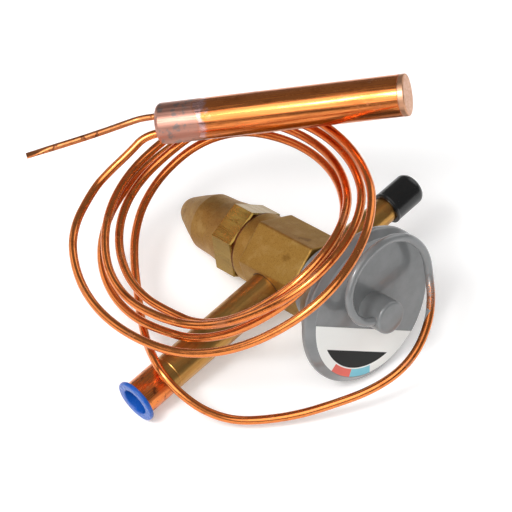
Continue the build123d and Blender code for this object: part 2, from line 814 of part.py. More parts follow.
def corner_radii(points, share=0.45):
    """The largest tangent arc that each corner's two runs allow."""
    radii = []
    for before, corner, after in zip(points, points[1:], points[2:]):
        first = corner - before
        second = after - corner
        half_turn = radians(first.get_angle(second)) / 2
        radii.append(share * min(first.length, second.length) / tan(half_turn))
    return radii


# Charging stub: a filling tube out of the bulb's near end, bent down and pinched flat at its tip
stub_bend = [(-56.5, 32.6, 57.9), (-64.2, 30.1, 56.4), (-73.8, 27.3, 54.6), (-86.0, 24.2, 52.3)]
stub_hole = bulb_origin + bulb_up * stub_lift
stub_route = [stub_hole + bulb_way * bulb_wall, stub_hole - bulb_way * stub_lead]
stub_route += [foot + Vector(*point) for point in stub_bend]
stub_radii = corner_radii(stub_route)
stub_tip = (stub_route[-1] - stub_route[-2]).normalized()
with BuildPart() as charging_stub:
    with BuildLine() as stub_line:
        FilletPolyline(*stub_route, radius=stub_radii)
    with BuildSketch(Plane(origin=stub_line.line @ 0, z_dir=stub_line.line % 0)):
        Circle(stub_diameter / 2)
    sweep(path=stub_line.line)
    with BuildSketch(Plane(origin=stub_route[-1], x_dir=Vector(0, 0, 1).cross(stub_tip), z_dir=stub_tip)):
        RectangleRounded(pinch_width, pinch_thickness, pinch_thickness / 3)
    extrude(amount=pinch_length)
charging_stub.part.label = "charging_stub"
export_step(charging_stub.part, "parts/charging_stub.step")

# Capillary: out of the boss, once round over the cover, across the floor side and the outlet,
# four and a half turns round the body, and into the bulb
boss_loop = [
    (12.3, 9.3, 46.4),
    (12.0, 17.2, 46.0),
    (6.6, 24.0, 45.6),
    (-1.6, 26.8, 45.4),
    (-10.2, 26.4, 45.4),
    (-17.6, 22.0, 45.5),
    (-22.2, 15.0, 45.6),
    (-24.0, 7.0, 45.4),
    (-23.2, -1.5, 44.6),
]
swing = [
    (46.9, -23.5, 27.5),
    (45.6, -31.5, 23.5),
    (41.6, -40.0, 19.0),
    (34.8, -46.8, 15.0),
    (25.0, -51.6, 11.5),
    (13.5, -54.5, 8.5),
    (2.0, -57.0, 6.0),
    (-9.5, -58.6, 5.0),
    (-20.5, -59.4, 5.4),
    (-30.5, -58.2, 9.0),
    (-38.8, -55.0, 14.5),
    (-44.6, -50.5, 19.0),
    (-48.0, -43.0, 20.0),
    (-50.2, -34.5, 16.8),
]
last_climb = [(-70.0, 18.4, 38.8), (-64.1, 23.9, 42.6), (-57.3, 28.2, 47.2)]

# The coil's turns, clockwise from the north: the height of its line over the first turn, every
# 30 degrees, and how far it reaches from the coil's middle, every 30 degrees from the south of its start
coil_middle = (-26.0, 2.0)
coil_rise = 3.9
coil_start = -130
coil_end = 1350
coil_step = 20
coil_growth = 1.008
list_step = 30
reach_start = -180
ring_heights = [42.0, 47.2, 50.8, 54.5, 56.6, 46.4, 23.8, 18.6, 16.9, 20.1, 25.2, 31.9]
turn_reaches = [
    [50.0, 43.0, 31.5, 29.5, 33.0, 38.5],
    [41.5, 39.5, 39.3, 41.7, 47.4, 51.6, 42.3, 39.1, 39.9, 41.4, 41.9, 43.0],
    [43.5, 41.2, 40.6, 42.9, 48.1, 50.1, 40.0, 33.3, 33.0, 34.8, 36.9, 38.0],
    [40.0, 42.0, 42.8, 46.8, 53.7, 56.0, 43.9, 40.3, 40.1, 39.6, 40.3, 41.0],
    [42.5, 43.0, 43.6, 48.4, 58.7, 67.5, 60.8, 55.6, 52.1, 50.6, 46.0, 41.0],
]


def smooth_value(values, place):
    """The value at a place between the listed ones, on a smooth curve through them."""
    first = floor(place)
    part = place - first
    before, low, high, after = (values[(first + k) % len(values)] for k in (-1, 0, 1, 2))
    bend = 2 * before - 5 * low + 4 * high - after
    return low + 0.5 * part * (high - before + part * (bend + part * (3 * (low - high) + after - before)))


reaches = [value for turn in turn_reaches for value in turn]
coil = []
for angle in range(coil_start, coil_end + 1, coil_step):
    radius = coil_growth * smooth_value(reaches, (angle - reach_start) / list_step)
    height = smooth_value(ring_heights, angle / list_step) + coil_rise * angle / 360
    coil.append(
        (
            coil_middle[0] + radius * sin(radians(angle)),
            coil_middle[1] + radius * cos(radians(angle)),
            height,
        )
    )
capillary_hole = bulb_origin - bulb_up * capillary_drop
boss_hole = centre + axis_way * entry_height
route = [boss_hole + entry_way * (boss_radius - boss_engagement)]
route += [boss_hole + entry_way * (boss_radius + boss_lead)]
route += [centre + outlet_way * a + side_way * b + axis_way * c for a, b, c in boss_loop]
route += [foot + Vector(*point) for point in swing + coil + last_climb]
route += [capillary_hole - bulb_way * capillary_lead, capillary_hole + bulb_way * bulb_wall]
capillary_radii = corner_radii(route)
with BuildPart() as capillary:
    with BuildLine() as capillary_line:
        FilletPolyline(*route, radius=capillary_radii)
    with BuildSketch(Plane(origin=capillary_line.line @ 0, z_dir=capillary_line.line % 0)):
        Circle(capillary_diameter / 2)
    sweep(path=capillary_line.line)
capillary.part.label = "capillary"
export_step(capillary.part, "parts/capillary.step")

print("stub radii", [round(value, 1) for value in stub_radii])
print("capillary radii", [round(value, 1) for value in capillary_radii])
capillary_length = sum(edge.length for edge in capillary_line.edges())
capillary_section = pi * capillary_diameter**2 / 4
print("capillary length", round(capillary_length, 1))
print("capillary volume", round(capillary.part.volume, 1))
print("section times length", round(capillary_section * capillary_length, 1))
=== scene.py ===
"""Studio scene of a thermostatic expansion valve with its sensing bulb on a coiled capillary."""

import json
import logging
import math
from dataclasses import dataclass
from enum import Enum
from typing import Callable, Iterable, Optional, Sequence

import bmesh
import bpy
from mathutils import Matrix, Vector, noise

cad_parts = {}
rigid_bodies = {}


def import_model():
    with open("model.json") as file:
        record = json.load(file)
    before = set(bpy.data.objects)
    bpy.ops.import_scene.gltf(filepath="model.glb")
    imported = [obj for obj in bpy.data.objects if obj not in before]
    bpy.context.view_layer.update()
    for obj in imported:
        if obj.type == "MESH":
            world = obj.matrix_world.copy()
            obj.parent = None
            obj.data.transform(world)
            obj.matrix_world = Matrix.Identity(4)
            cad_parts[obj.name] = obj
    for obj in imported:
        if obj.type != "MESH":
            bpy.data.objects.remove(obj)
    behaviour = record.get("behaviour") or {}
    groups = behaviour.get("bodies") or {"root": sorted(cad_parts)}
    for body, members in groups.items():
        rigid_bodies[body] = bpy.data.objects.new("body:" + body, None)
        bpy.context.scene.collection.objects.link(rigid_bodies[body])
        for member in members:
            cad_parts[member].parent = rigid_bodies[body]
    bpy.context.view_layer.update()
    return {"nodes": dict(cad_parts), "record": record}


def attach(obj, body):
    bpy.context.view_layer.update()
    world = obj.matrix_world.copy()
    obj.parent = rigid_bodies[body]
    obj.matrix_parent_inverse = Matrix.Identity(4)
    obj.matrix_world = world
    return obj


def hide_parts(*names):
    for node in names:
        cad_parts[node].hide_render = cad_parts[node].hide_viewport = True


for leftover in list(bpy.data.objects):
    bpy.data.objects.remove(leftover)

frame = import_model()

MM = 0.001
FULL_TURN = 2 * math.pi
SHARP_EDGE = math.radians(35.0)
ON_AXIS = 1e-6
WELD = 1e-7
LOG = logging.getLogger("valve_scene")

Colour = tuple[float, float, float]
Profile = Sequence[tuple[float, float]]


class Slot(Enum):
    """The record's material slots that the scene's own pieces use."""

    COPPER = "copper"
    PAINT = "element_paint"
    BLUE_PLASTIC = "blue_plastic"
    BLACK_VINYL = "black_vinyl"
    PACKING = "packing"


class Effect(Enum):
    """The shader groups that more than one finish uses."""

    PLACE = "place_in_millimetres"
    GRAIN = "blasted_grain"
    BLOTCH = "tarnish_blotches"
    DRAWN = "drawn_lines"
    WEAR = "worn_edges"


@dataclass(frozen=True)
class Stand:
    """A local set of axes on the part, measured in millimetres."""

    origin: Vector
    x: Vector
    y: Vector
    z: Vector

    def at(self, a: float, b: float, c: float) -> Vector:
        """Gives the point in metres that lies a, b and c millimetres along the axes."""
        return self.origin + (self.x * a + self.y * b + self.z * c) * MM

    def ring(self, radius: float, angle: float, height: float) -> Vector:
        """Gives the point in metres on a circle round the z axis."""
        return self.at(radius * math.cos(angle), radius * math.sin(angle), height)

    def local(self, point: Vector) -> Vector:
        """Gives a point's place on the axes, in millimetres."""
        away = (point - self.origin) / MM
        return Vector((away.dot(self.x), away.dot(self.y), away.dot(self.z)))


def stand_along(origin: Vector, way: Vector, across: Vector) -> Stand:
    """Makes a stand whose z axis follows a direction.

    Args:
        origin: Where the stand lies, in metres.
        way: The direction of the z axis.
        across: A direction that the x axis stays close to.

    Returns:
        The stand.
    """
    z = way.normalized()
    x = (across - z * across.dot(z)).normalized()
    return Stand(origin, x, z.cross(x), z)


class PartFrame:
    """The part's own axes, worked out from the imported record."""

    def __init__(self, record: dict) -> None:
        """Reads the directions of the joints and the mounts.

        Args:
            record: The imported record.
        """
        joints = {joint["name"]: joint for joint in record["behaviour"]["joints"]}
        mounts = {mount["name"]: mount for mount in record["mounts"]}
        up = -Vector(joints["opening"]["axis"])
        out = Vector(mounts["outlet_connection"]["axis"])
        on_axis = Vector(joints["stem_turn"]["pos_m"])
        on_outlet = Vector(mounts["outlet_connection"]["pos_m"])
        on_inlet = Vector(mounts["inlet_connection"]["pos_m"])
        centre = on_axis + up * (on_outlet - on_axis).dot(up)
        inlet_foot = centre + up * (on_inlet - centre).dot(up)
        side = out.cross(up)
        self.valve = Stand(centre, out, side, up)
        self.outlet = stand_along(centre, out, up)
        self.inlet = stand_along(inlet_foot, -out, up)
        self.foot = Vector((centre.x, centre.y, 0.0))
        clamp = mounts["bulb_clamping"]
        way = Vector(clamp["axis"])
        middle = Vector(clamp["pos_m"])
        self.bulb_length = self.reach(("bulb_shell", "bulb_end_disc"), middle, way)
        start = middle - way * self.bulb_length * MM / 2
        self.bulb = stand_along(start, way, Vector((0, 0, 1)))

    @staticmethod
    def reach(names: Iterable[str], middle: Vector, way: Vector) -> float:
        """Measures how long some nodes are along a direction.

        Args:
            names: The nodes.
            middle: A point near them.
            way: The direction.

        Returns:
            The length in millimetres.
        """
        places = [(v.co - middle).dot(way) for name in names for v in frame["nodes"][name].data.vertices]
        return (max(places) - min(places)) / MM


class NodeSheet:
    """Lays out the nodes of one material, world or group."""

    def __init__(self, tree: bpy.types.NodeTree) -> None:
        """Starts on a tree.

        Args:
            tree: The node tree that takes the nodes.
        """
        self.tree = tree

    def node(self, kind: str, **settings: object) -> bpy.types.Node:
        """Adds a node.

        Args:
            kind: The node's type, without the ShaderNode prefix.
            settings: Properties to set on it.

        Returns:
            The node.
        """
        made = self.tree.nodes.new("ShaderNode" + kind)
        for name, value in settings.items():
            setattr(made, name, value)
        return made

    def feed(self, socket: bpy.types.NodeSocket, value: object) -> None:
        """Links a socket to another one, or sets its own value.

        Args:
            socket: The input to fill.
            value: An output socket, a number, a colour or a vector.
        """
        if isinstance(value, bpy.types.NodeSocket):
            self.tree.links.new(value, socket)
        elif isinstance(value, (tuple, Vector)) and socket.type == "RGBA":
            socket.default_value = (*value, 1.0)
        else:
            socket.default_value = value

    def math(self, operation: str, *values: object) -> bpy.types.NodeSocket:
        """Adds a Math node and gives its result."""
        made = self.node("Math", operation=operation)
        for socket, value in zip(made.inputs, values):
            self.feed(socket, value)
        return made.outputs[0]

    def vector(self, operation: str, *values: object) -> bpy.types.NodeSocket:
        """Adds a Vector Math node and gives its result, a number for a dot product or a length."""
        made = self.node("VectorMath", operation=operation)
        for socket, value in zip(made.inputs, values):
            self.feed(socket, value)
        return made.outputs["Value" if operation in ("DOT_PRODUCT", "LENGTH") else "Vector"]

    def scaled(self, vector: object, factors: Colour) -> bpy.types.NodeSocket:
        """Multiplies a vector by three factors."""
        return self.vector("MULTIPLY", vector, factors)

    def noise(
        self, vector: object, scale: object, detail: float = 4.0, rough: float = 0.55
    ) -> bpy.types.NodeSocket:
        """Adds a noise texture and gives its value."""
        made = self.node("TexNoise")
        self.feed(made.inputs["Vector"], vector)
        self.feed(made.inputs["Scale"], scale)
        made.inputs["Detail"].default_value = detail
        made.inputs["Roughness"].default_value = rough
        return made.outputs["Fac"]

    def step(self, value: object, low: object, high: object) -> bpy.types.NodeSocket:
        """Gives 0 below low, 1 above high and a smooth rise between them."""
        made = self.node("MapRange", interpolation_type="SMOOTHSTEP")
        for name, given in (("Value", value), ("From Min", low), ("From Max", high)):
            self.feed(made.inputs[name], given)
        return made.outputs["Result"]

    def between(self, value: object, first: object, second: object) -> bpy.types.NodeSocket:
        """Gives a number that goes from first to second as value goes from 0 to 1."""
        made = self.node("MapRange")
        self.feed(made.inputs["Value"], value)
        self.feed(made.inputs["To Min"], first)
        self.feed(made.inputs["To Max"], second)
        return made.outputs["Result"]

    def mix(self, share: object, first: object, second: object) -> bpy.types.NodeSocket:
        """Mixes two colours."""
        made = self.node("Mix", data_type="RGBA", clamp_factor=True)
        self.feed(made.inputs[0], share)
        self.feed(made.inputs[6], first)
        self.feed(made.inputs[7], second)
        return made.outputs[2]

    def layer(self, mask: object, share: float, under: object, over: object) -> bpy.types.NodeSocket:
        """Lays a colour over another one where a mask says so.

        Args:
            mask: The mask, between 0 and 1.
            share: How much of the colour a mask of 1 lets through.
            under: The colour below.
            over: The colour on top.

        Returns:
            The colour.
        """
        return self.mix(self.math("MULTIPLY", mask, share), under, over)

    def bump(self, height: object, depth: float, under: Optional[object] = None) -> bpy.types.NodeSocket:
        """Adds a bump.

        Args:
            height: The height between 0 and 1.
            depth: What a height of 1 stands for, in millimetres.
            under: The normal of a bump below this one.

        Returns:
            The normal.
        """
        made = self.node("Bump")
        made.inputs["Distance"].default_value = depth * MM
        self.feed(made.inputs["Height"], height)
        if under is not None:
            self.feed(made.inputs["Normal"], under)
        return made.outputs["Normal"]

    def effect(self, effect: Effect, **values: object) -> bpy.types.Node:
        """Places a shared group.

        Args:
            effect: Which group.
            values: Its inputs by name, with underscores for spaces.

        Returns:
            The group node.
        """
        made = self.tree.nodes.new("ShaderNodeGroup")
        made.node_tree = SharedEffects.get(effect)
        for name, value in values.items():
            self.feed(made.inputs[name.replace("_", " ")], value)
        return made


class SharedEffects:
    """Builds each shared shader group once."""

    made: dict[Effect, bpy.types.NodeTree] = {}
    FINE_GRAIN = 3.1
    FINE_SHARE = 0.4
    PIT_EDGES = (0.52, 0.40)
    STAIN_EDGES = (0.72, 0.34)
    STAIN_BLUR = 0.09
    LINE_STRETCH = 0.035
    LINE_EDGES = (0.42, 0.62)
    EDGE_TURNS = (0.995, 0.93)
    EDGE_PATCHES = (0.3, 0.55)

    @classmethod
    def get(cls, effect: Effect) -> bpy.types.NodeTree:
        """Gives a group, building it at its first use.

        Args:
            effect: Which group.

        Returns:
            The group's tree.
        """
        if effect not in cls.made:
            builders = {
                Effect.PLACE: cls.place,
                Effect.GRAIN: cls.grain,
                Effect.BLOTCH: cls.blotch,
                Effect.DRAWN: cls.drawn,
                Effect.WEAR: cls.wear,
            }
            cls.made[effect] = builders[effect](effect.value)
        return cls.made[effect]

    @staticmethod
    def start(name: str, inputs: Sequence[tuple[str, str]], outputs: Sequence[tuple[str, str]]) -> tuple:
        """Makes an empty group with its sockets.

        Args:
            name: The group's name.
            inputs: Name and kind of each input.
            outputs: Name and kind of each output.

        Returns:
            The sheet, the input sockets by name and the output node.
        """
        tree = bpy.data.node_groups.new(name, "ShaderNodeTree")
        for label, kind in inputs:
            tree.interface.new_socket(label, in_out="INPUT", socket_type="NodeSocket" + kind)
        for label, kind in outputs:
            tree.interface.new_socket(label, in_out="OUTPUT", socket_type="NodeSocket" + kind)
        given = tree.nodes.new("NodeGroupInput")
        taken = tree.nodes.new("NodeGroupOutput")
        return NodeSheet(tree), {label: given.outputs[label] for label, _ in inputs}, taken

    @classmethod
    def place(cls, name: str) -> bpy.types.NodeTree:
        """Turns the object coordinates into millimetres along three given axes."""
        kinds = [(label, "Vector") for label in ("Origin", "X axis", "Y axis", "Z axis")]
        sheet, given, taken = cls.start(name, kinds, [("Vector", "Vector")])
        here = sheet.node("TexCoord").outputs["Object"]
        away = sheet.scaled(sheet.vector("SUBTRACT", here, given["Origin"]), (1 / MM, 1 / MM, 1 / MM))
        combined = sheet.node("CombineXYZ")
        for socket, label in zip(combined.inputs, ("X axis", "Y axis", "Z axis")):
            sheet.feed(socket, sheet.vector("DOT_PRODUCT", away, given[label]))
        sheet.feed(taken.inputs["Vector"], combined.outputs[0])
        return sheet.tree

    @classmethod
    def grain(cls, name: str) -> bpy.types.NodeTree:
        """Fine pits of a blasted or cast surface, with a mask of the pits."""
        sheet, given, taken = cls.start(
            name, [("Vector", "Vector"), ("Scale", "Float")], [("Height", "Float"), ("Pits", "Float")]
        )
        coarse = sheet.noise(given["Vector"], given["Scale"], 5.0, 0.62)
        fine = sheet.noise(given["Vector"], sheet.math("MULTIPLY", given["Scale"], cls.FINE_GRAIN), 2.0)
        base = sheet.math("MULTIPLY", coarse, 1.0 - cls.FINE_SHARE)
        height = sheet.math("MULTIPLY_ADD", fine, cls.FINE_SHARE, base)
        sheet.feed(taken.inputs["Height"], height)
        sheet.feed(taken.inputs["Pits"], sheet.step(height, *cls.PIT_EDGES))
        return sheet.tree

    @classmethod
    def blotch(cls, name: str) -> bpy.types.NodeTree:
        """Soft-edged stains: Cover is the share of the surface that they take."""
        kinds = [("Vector", "Vector"), ("Scale", "Float"), ("Cover", "Float")]
        sheet, given, taken = cls.start(name, kinds, [("Mask", "Float")])
        value = sheet.noise(given["Vector"], given["Scale"], 6.0, 0.6)
        edge = sheet.between(given["Cover"], *cls.STAIN_EDGES)
        mask = sheet.step(value, edge, sheet.math("ADD", edge, cls.STAIN_BLUR))
        sheet.feed(taken.inputs["Mask"], mask)
        return sheet.tree

    @classmethod
    def drawn(cls, name: str) -> bpy.types.NodeTree:
        """Fine lines along the third axis, as a drawing die leaves them on a tube."""
        sheet, given, taken = cls.start(
            name, [("Vector", "Vector"), ("Scale", "Float")], [("Height", "Float"), ("Lines", "Float")]
        )
        long = sheet.scaled(given["Vector"], (1.0, 1.0, cls.LINE_STRETCH))
        value = sheet.noise(long, given["Scale"], 5.0, 0.65)
        sheet.feed(taken.inputs["Height"], value)
        sheet.feed(taken.inputs["Lines"], sheet.step(value, *cls.LINE_EDGES))
        return sheet.tree

    @classmethod
    def wear(cls, name: str) -> bpy.types.NodeTree:
        """Marks outer edges, where a surface is rubbed bright."""
        sheet, given, taken = cls.start(
            name, [("Vector", "Vector"), ("Radius", "Float")], [("Mask", "Float")]
        )
        bevel = sheet.node("Bevel", samples=6)
        sheet.feed(bevel.inputs["Radius"], given["Radius"])
        plain = sheet.node("NewGeometry").outputs["Normal"]
        same = sheet.vector("DOT_PRODUCT", bevel.outputs["Normal"], plain)
        turned = sheet.step(same, *cls.EDGE_TURNS)
        patchy = sheet.step(sheet.noise(given["Vector"], 0.9, 4.0), *cls.EDGE_PATCHES)
        sheet.feed(taken.inputs["Mask"], sheet.math("MULTIPLY", turned, patchy))
        return sheet.tree


@dataclass(frozen=True)
class Finish:
    """What every finish has: the axes that its texture follows and its plain shader values."""

    stand: Stand
    metallic: float = 1.0
    specular: float = 0.5

    def place(self, sheet: NodeSheet) -> bpy.types.NodeSocket:
        """Gives the surface's place along the finish's own axes, in millimetres."""
        axes = self.stand
        made = sheet.effect(
            Effect.PLACE, Origin=axes.origin, X_axis=axes.x, Y_axis=axes.y, Z_axis=axes.z
        )
        return made.outputs["Vector"]

    def build(self, name: str) -> bpy.types.Material:
        """Makes the material.

        Args:
            name: The material's name.

        Returns:
            The material.
        """
        material = bpy.data.materials.new(name)
        material.use_nodes = True
        sheet = NodeSheet(material.node_tree)
        shader = material.node_tree.nodes["Principled BSDF"]
        shader.inputs["Metallic"].default_value = self.metallic
        shader.inputs["Specular IOR Level"].default_value = self.specular
        self.dress(sheet, shader.inputs)
        return material

    def dress(self, sheet: NodeSheet, shader: bpy.types.NodeInputs) -> None:
        """Fills the shader's inputs; each kind of finish has its own way."""
        raise NotImplementedError


@dataclass(frozen=True)
class BlastedMetal(Finish):
    """A forging or casting with a blasted skin, darker pits and rubbed edges."""

    colour: Colour = (0.37, 0.212, 0.050)
    dark: Colour = (0.17, 0.076, 0.014)
    bright: Colour = (0.54, 0.36, 0.13)
    roughness: tuple[float, float] = (0.46, 0.64)
    scale: float = 2.4
    depth: float = 0.10
    stains: float = 0.35
    stain_scale: float = 0.13
    stain_share: float = 0.55
    pit_share: float = 0.5
    cloud_scale: float = 0.22
    cloud_share: float = 0.35
    edge: float = 0.35
    edge_share: float = 0.4
    soft_edge: float = 0.9

    def dress(self, sheet: NodeSheet, shader: bpy.types.NodeInputs) -> None:
        """Fills the shader's inputs."""
        here = self.place(sheet)
        soft = sheet.node("Bevel", samples=6)
        soft.inputs["Radius"].default_value = self.soft_edge * MM
        grain = sheet.effect(Effect.GRAIN, Vector=here, Scale=self.scale)
        stain = sheet.effect(Effect.BLOTCH, Vector=here, Scale=self.stain_scale, Cover=self.stains)
        wear = sheet.effect(Effect.WEAR, Vector=here, Radius=self.edge * MM)
        cloudy = sheet.step(sheet.noise(here, self.cloud_scale, 3.0), 0.45, 0.75)
        colour = sheet.layer(stain.outputs["Mask"], self.stain_share, self.colour, self.dark)
        colour = sheet.layer(grain.outputs["Pits"], self.pit_share, colour, self.dark)
        colour = sheet.layer(cloudy, self.cloud_share, colour, self.bright)
        colour = sheet.layer(wear.outputs["Mask"], self.edge_share, colour, self.bright)
        low, high = self.roughness
        rough = sheet.between(grain.outputs["Height"], low, high)
        sheet.feed(shader["Base Color"], colour)
        sheet.feed(shader["Roughness"], rough)
        sheet.feed(shader["Normal"], sheet.bump(grain.outputs["Height"], self.depth, soft.outputs["Normal"]))


@dataclass(frozen=True)
class DrawnMetal(Finish):
    """A drawn tube: die lines, tarnish and handling stains."""

    colour: Colour = (0.74, 0.235, 0.065)
    dark: Colour = (0.30, 0.055, 0.010)
    stain_colour: Colour = (0.50, 0.20, 0.11)
    roughness: tuple[float, float] = (0.16, 0.34)
    line_scale: float = 1.4
    stain_scale: float = 0.16
    stains: float = 0.3
    depth: float = 0.012
    line_share: float = 0.35
    cloud_share: float = 0.6
    stain_share: float = 0.45
    stain_rough: float = 0.12

    def dress(self, sheet: NodeSheet, shader: bpy.types.NodeInputs) -> None:
        """Fills the shader's inputs."""
        here = self.place(sheet)
        lines = sheet.effect(Effect.DRAWN, Vector=here, Scale=self.line_scale)
        stain = sheet.effect(Effect.BLOTCH, Vector=here, Scale=self.stain_scale, Cover=self.stains)
        cloudy = sheet.noise(sheet.scaled(here, (1.0, 1.0, 0.3)), 0.3, 4.0)
        colour = sheet.layer(lines.outputs["Lines"], self.line_share, self.colour, self.dark)
        colour = sheet.layer(sheet.step(cloudy, 0.5, 0.8), self.cloud_share, colour, self.dark)
        colour = sheet.layer(stain.outputs["Mask"], self.stain_share, colour, self.stain_colour)
        colour, veil = self.extra(sheet, here, colour)
        low, high = self.roughness
        rough = sheet.between(lines.outputs["Lines"], low, high)
        rough = sheet.math("MULTIPLY_ADD", stain.outputs["Mask"], self.stain_rough, rough)
        sheet.feed(shader["Base Color"], colour)
        sheet.feed(shader["Roughness"], sheet.math("ADD", rough, veil))
        sheet.feed(shader["Normal"], sheet.bump(lines.outputs["Height"], self.depth))

    def extra(self, sheet: NodeSheet, here: object, colour: object) -> tuple:
        """Adds what only one tube has: nothing on a plain one.

        Args:
            sheet: The node sheet.
            here: The place on the tube, in millimetres.
            colour: The colour so far.

        Returns:
            The colour, and what the roughness gains.
        """
        return colour, 0.0


@dataclass(frozen=True)
class BulbCopper(DrawnMetal):
    """Bulb copper: heated and mottled at the capillary end, pinkish on the end disc."""

    border: float = 23.5
    wander: float = 12.0
    halo_share: float = 0.6
    heat_rough: float = 0.2
    heated_colour: Colour = (0.50, 0.25, 0.19)
    ash: Colour = (0.30, 0.22, 0.20)
    halo: Colour = (0.62, 0.45, 0.50)

    def extra(self, sheet: NodeSheet, here: object, colour: object) -> tuple:
        """Adds the heated end, its coloured edge and the drops' stains."""
        apart = sheet.node("SeparateXYZ")
        sheet.feed(apart.inputs[0], here)
        along = apart.outputs[2]
        wander = sheet.math("MULTIPLY_ADD", sheet.noise(here, 0.18, 4.0), self.wander, along)
        heat = sheet.step(wander, self.border + 1.0, self.border - 3.5)
        mottle = sheet.effect(Effect.BLOTCH, Vector=here, Scale=0.33, Cover=0.55)
        burnt = sheet.mix(mottle.outputs["Mask"], self.heated_colour, self.ash)
        away = sheet.math("ABSOLUTE", sheet.math("SUBTRACT", wander, self.border))
        colour = sheet.mix(heat, colour, burnt)
        colour = sheet.layer(sheet.step(away, 2.2, 0.4), self.halo_share, colour, self.halo)
        return colour, sheet.math("MULTIPLY", heat, self.heat_rough)


@dataclass(frozen=True)
class EndCopper(DrawnMetal):
    """The copper tube end: dark spots from the brazing heat."""

    spot: Colour = (0.07, 0.022, 0.012)
    spot_share: float = 0.8
    spot_rough: float = 0.15

    def extra(self, sheet: NodeSheet, here: object, colour: object) -> tuple:
        """Adds the dark spots."""
        spots = sheet.effect(Effect.BLOTCH, Vector=here, Scale=0.42, Cover=0.42)
        colour = sheet.layer(spots.outputs["Mask"], self.spot_share, colour, self.spot)
        return colour, sheet.math("MULTIPLY", spots.outputs["Mask"], self.spot_rough)


@dataclass(frozen=True)
class ElementPaint(Finish):
    """Semi-gloss grey paint with a light orange peel and scuffed edges."""

    colour: Colour = (0.178, 0.185, 0.187)
    dark: Colour = (0.118, 0.123, 0.125)
    pale: Colour = (0.36, 0.37, 0.37)
    edge: float = 0.25
    edge_share: float = 0.7
    dust_share: float = 0.4
    cloud_share: float = 0.45
    coat: float = 0.6
    coat_roughness: float = 0.09

    def dress(self, sheet: NodeSheet, shader: bpy.types.NodeInputs) -> None:
        """Fills the shader's inputs."""
        here = self.place(sheet)
        peel = sheet.noise(here, 1.3, 2.0)
        cloudy = sheet.noise(here, 0.16, 4.0)
        wear = sheet.effect(Effect.WEAR, Vector=here, Radius=self.edge * MM)
        dust = sheet.effect(Effect.BLOTCH, Vector=here, Scale=1.1, Cover=0.12)
        colour = sheet.mix(sheet.step(cloudy, 0.35, 0.7), self.colour, self.dark)
        colour = sheet.mix(self.cloud_share, self.colour, colour)
        colour = sheet.layer(wear.outputs["Mask"], self.edge_share, colour, self.pale)
        colour = sheet.layer(dust.outputs["Mask"], self.dust_share, colour, self.pale)
        sheet.feed(shader["Base Color"], colour)
        sheet.feed(shader["Roughness"], sheet.between(cloudy, 0.26, 0.38))
        sheet.feed(shader["Normal"], sheet.bump(peel, 0.02))
        shader["Coat Weight"].default_value = self.coat
        shader["Coat Roughness"].default_value = self.coat_roughness


@dataclass(frozen=True)
class LinePaint(DrawnMetal):
    """Capillary copper, with the element's paint on its first turn over the cover."""

    paint: Colour = (0.178, 0.185, 0.187)
    turn_reach: float = 30.8
    cover_side: float = 41.0
    turn_top: float = 52.5
    turn_side: float = -11.0
    fade_middle: float = -4.5
    fade_width: float = 3.5
    fade_side: float = -14.0
    fade_spread: float = 22.0
    coat: float = 0.6
    coat_roughness: float = 0.09

    def dress(self, sheet: NodeSheet, shader: bpy.types.NodeInputs) -> None:
        """Fills the shader's inputs."""
        super().dress(sheet, shader)
        here = self.place(sheet)
        speck = sheet.noise(here, 2.6, 3.0)
        apart = sheet.node("SeparateXYZ")
        sheet.feed(apart.inputs[0], here)
        along, across, above = apart.outputs
        reach = sheet.vector("LENGTH", sheet.scaled(here, (1.0, 1.0, 0.0)))
        within = sheet.math("LESS_THAN", reach, self.turn_reach)
        over_cover = sheet.math("GREATER_THAN", above, self.cover_side)
        under_top = sheet.math("LESS_THAN", above, self.turn_top)
        first_turn = sheet.math("MULTIPLY", within, sheet.math("MULTIPLY", over_cover, under_top))
        wander = sheet.math("MULTIPLY_ADD", sheet.math("SUBTRACT", speck, 0.5), self.fade_spread, across)
        low, high = self.fade_middle - self.fade_width, self.fade_middle + self.fade_width
        before_fade = sheet.math("GREATER_THAN", along, self.fade_side)
        kept = sheet.math("MAXIMUM", sheet.step(wander, low, high), before_fade)
        this_side = sheet.math("GREATER_THAN", across, self.turn_side)
        painted = sheet.math("MULTIPLY", first_turn, sheet.math("MULTIPLY", kept, this_side))
        bare = shader["Base Color"].links[0].from_socket
        sheet.feed(shader["Base Color"], sheet.mix(painted, bare, self.paint))
        sheet.feed(shader["Metallic"], sheet.math("SUBTRACT", 1.0, painted))
        sheet.feed(shader["Coat Weight"], sheet.math("MULTIPLY", painted, self.coat))
        shader["Coat Roughness"].default_value = self.coat_roughness


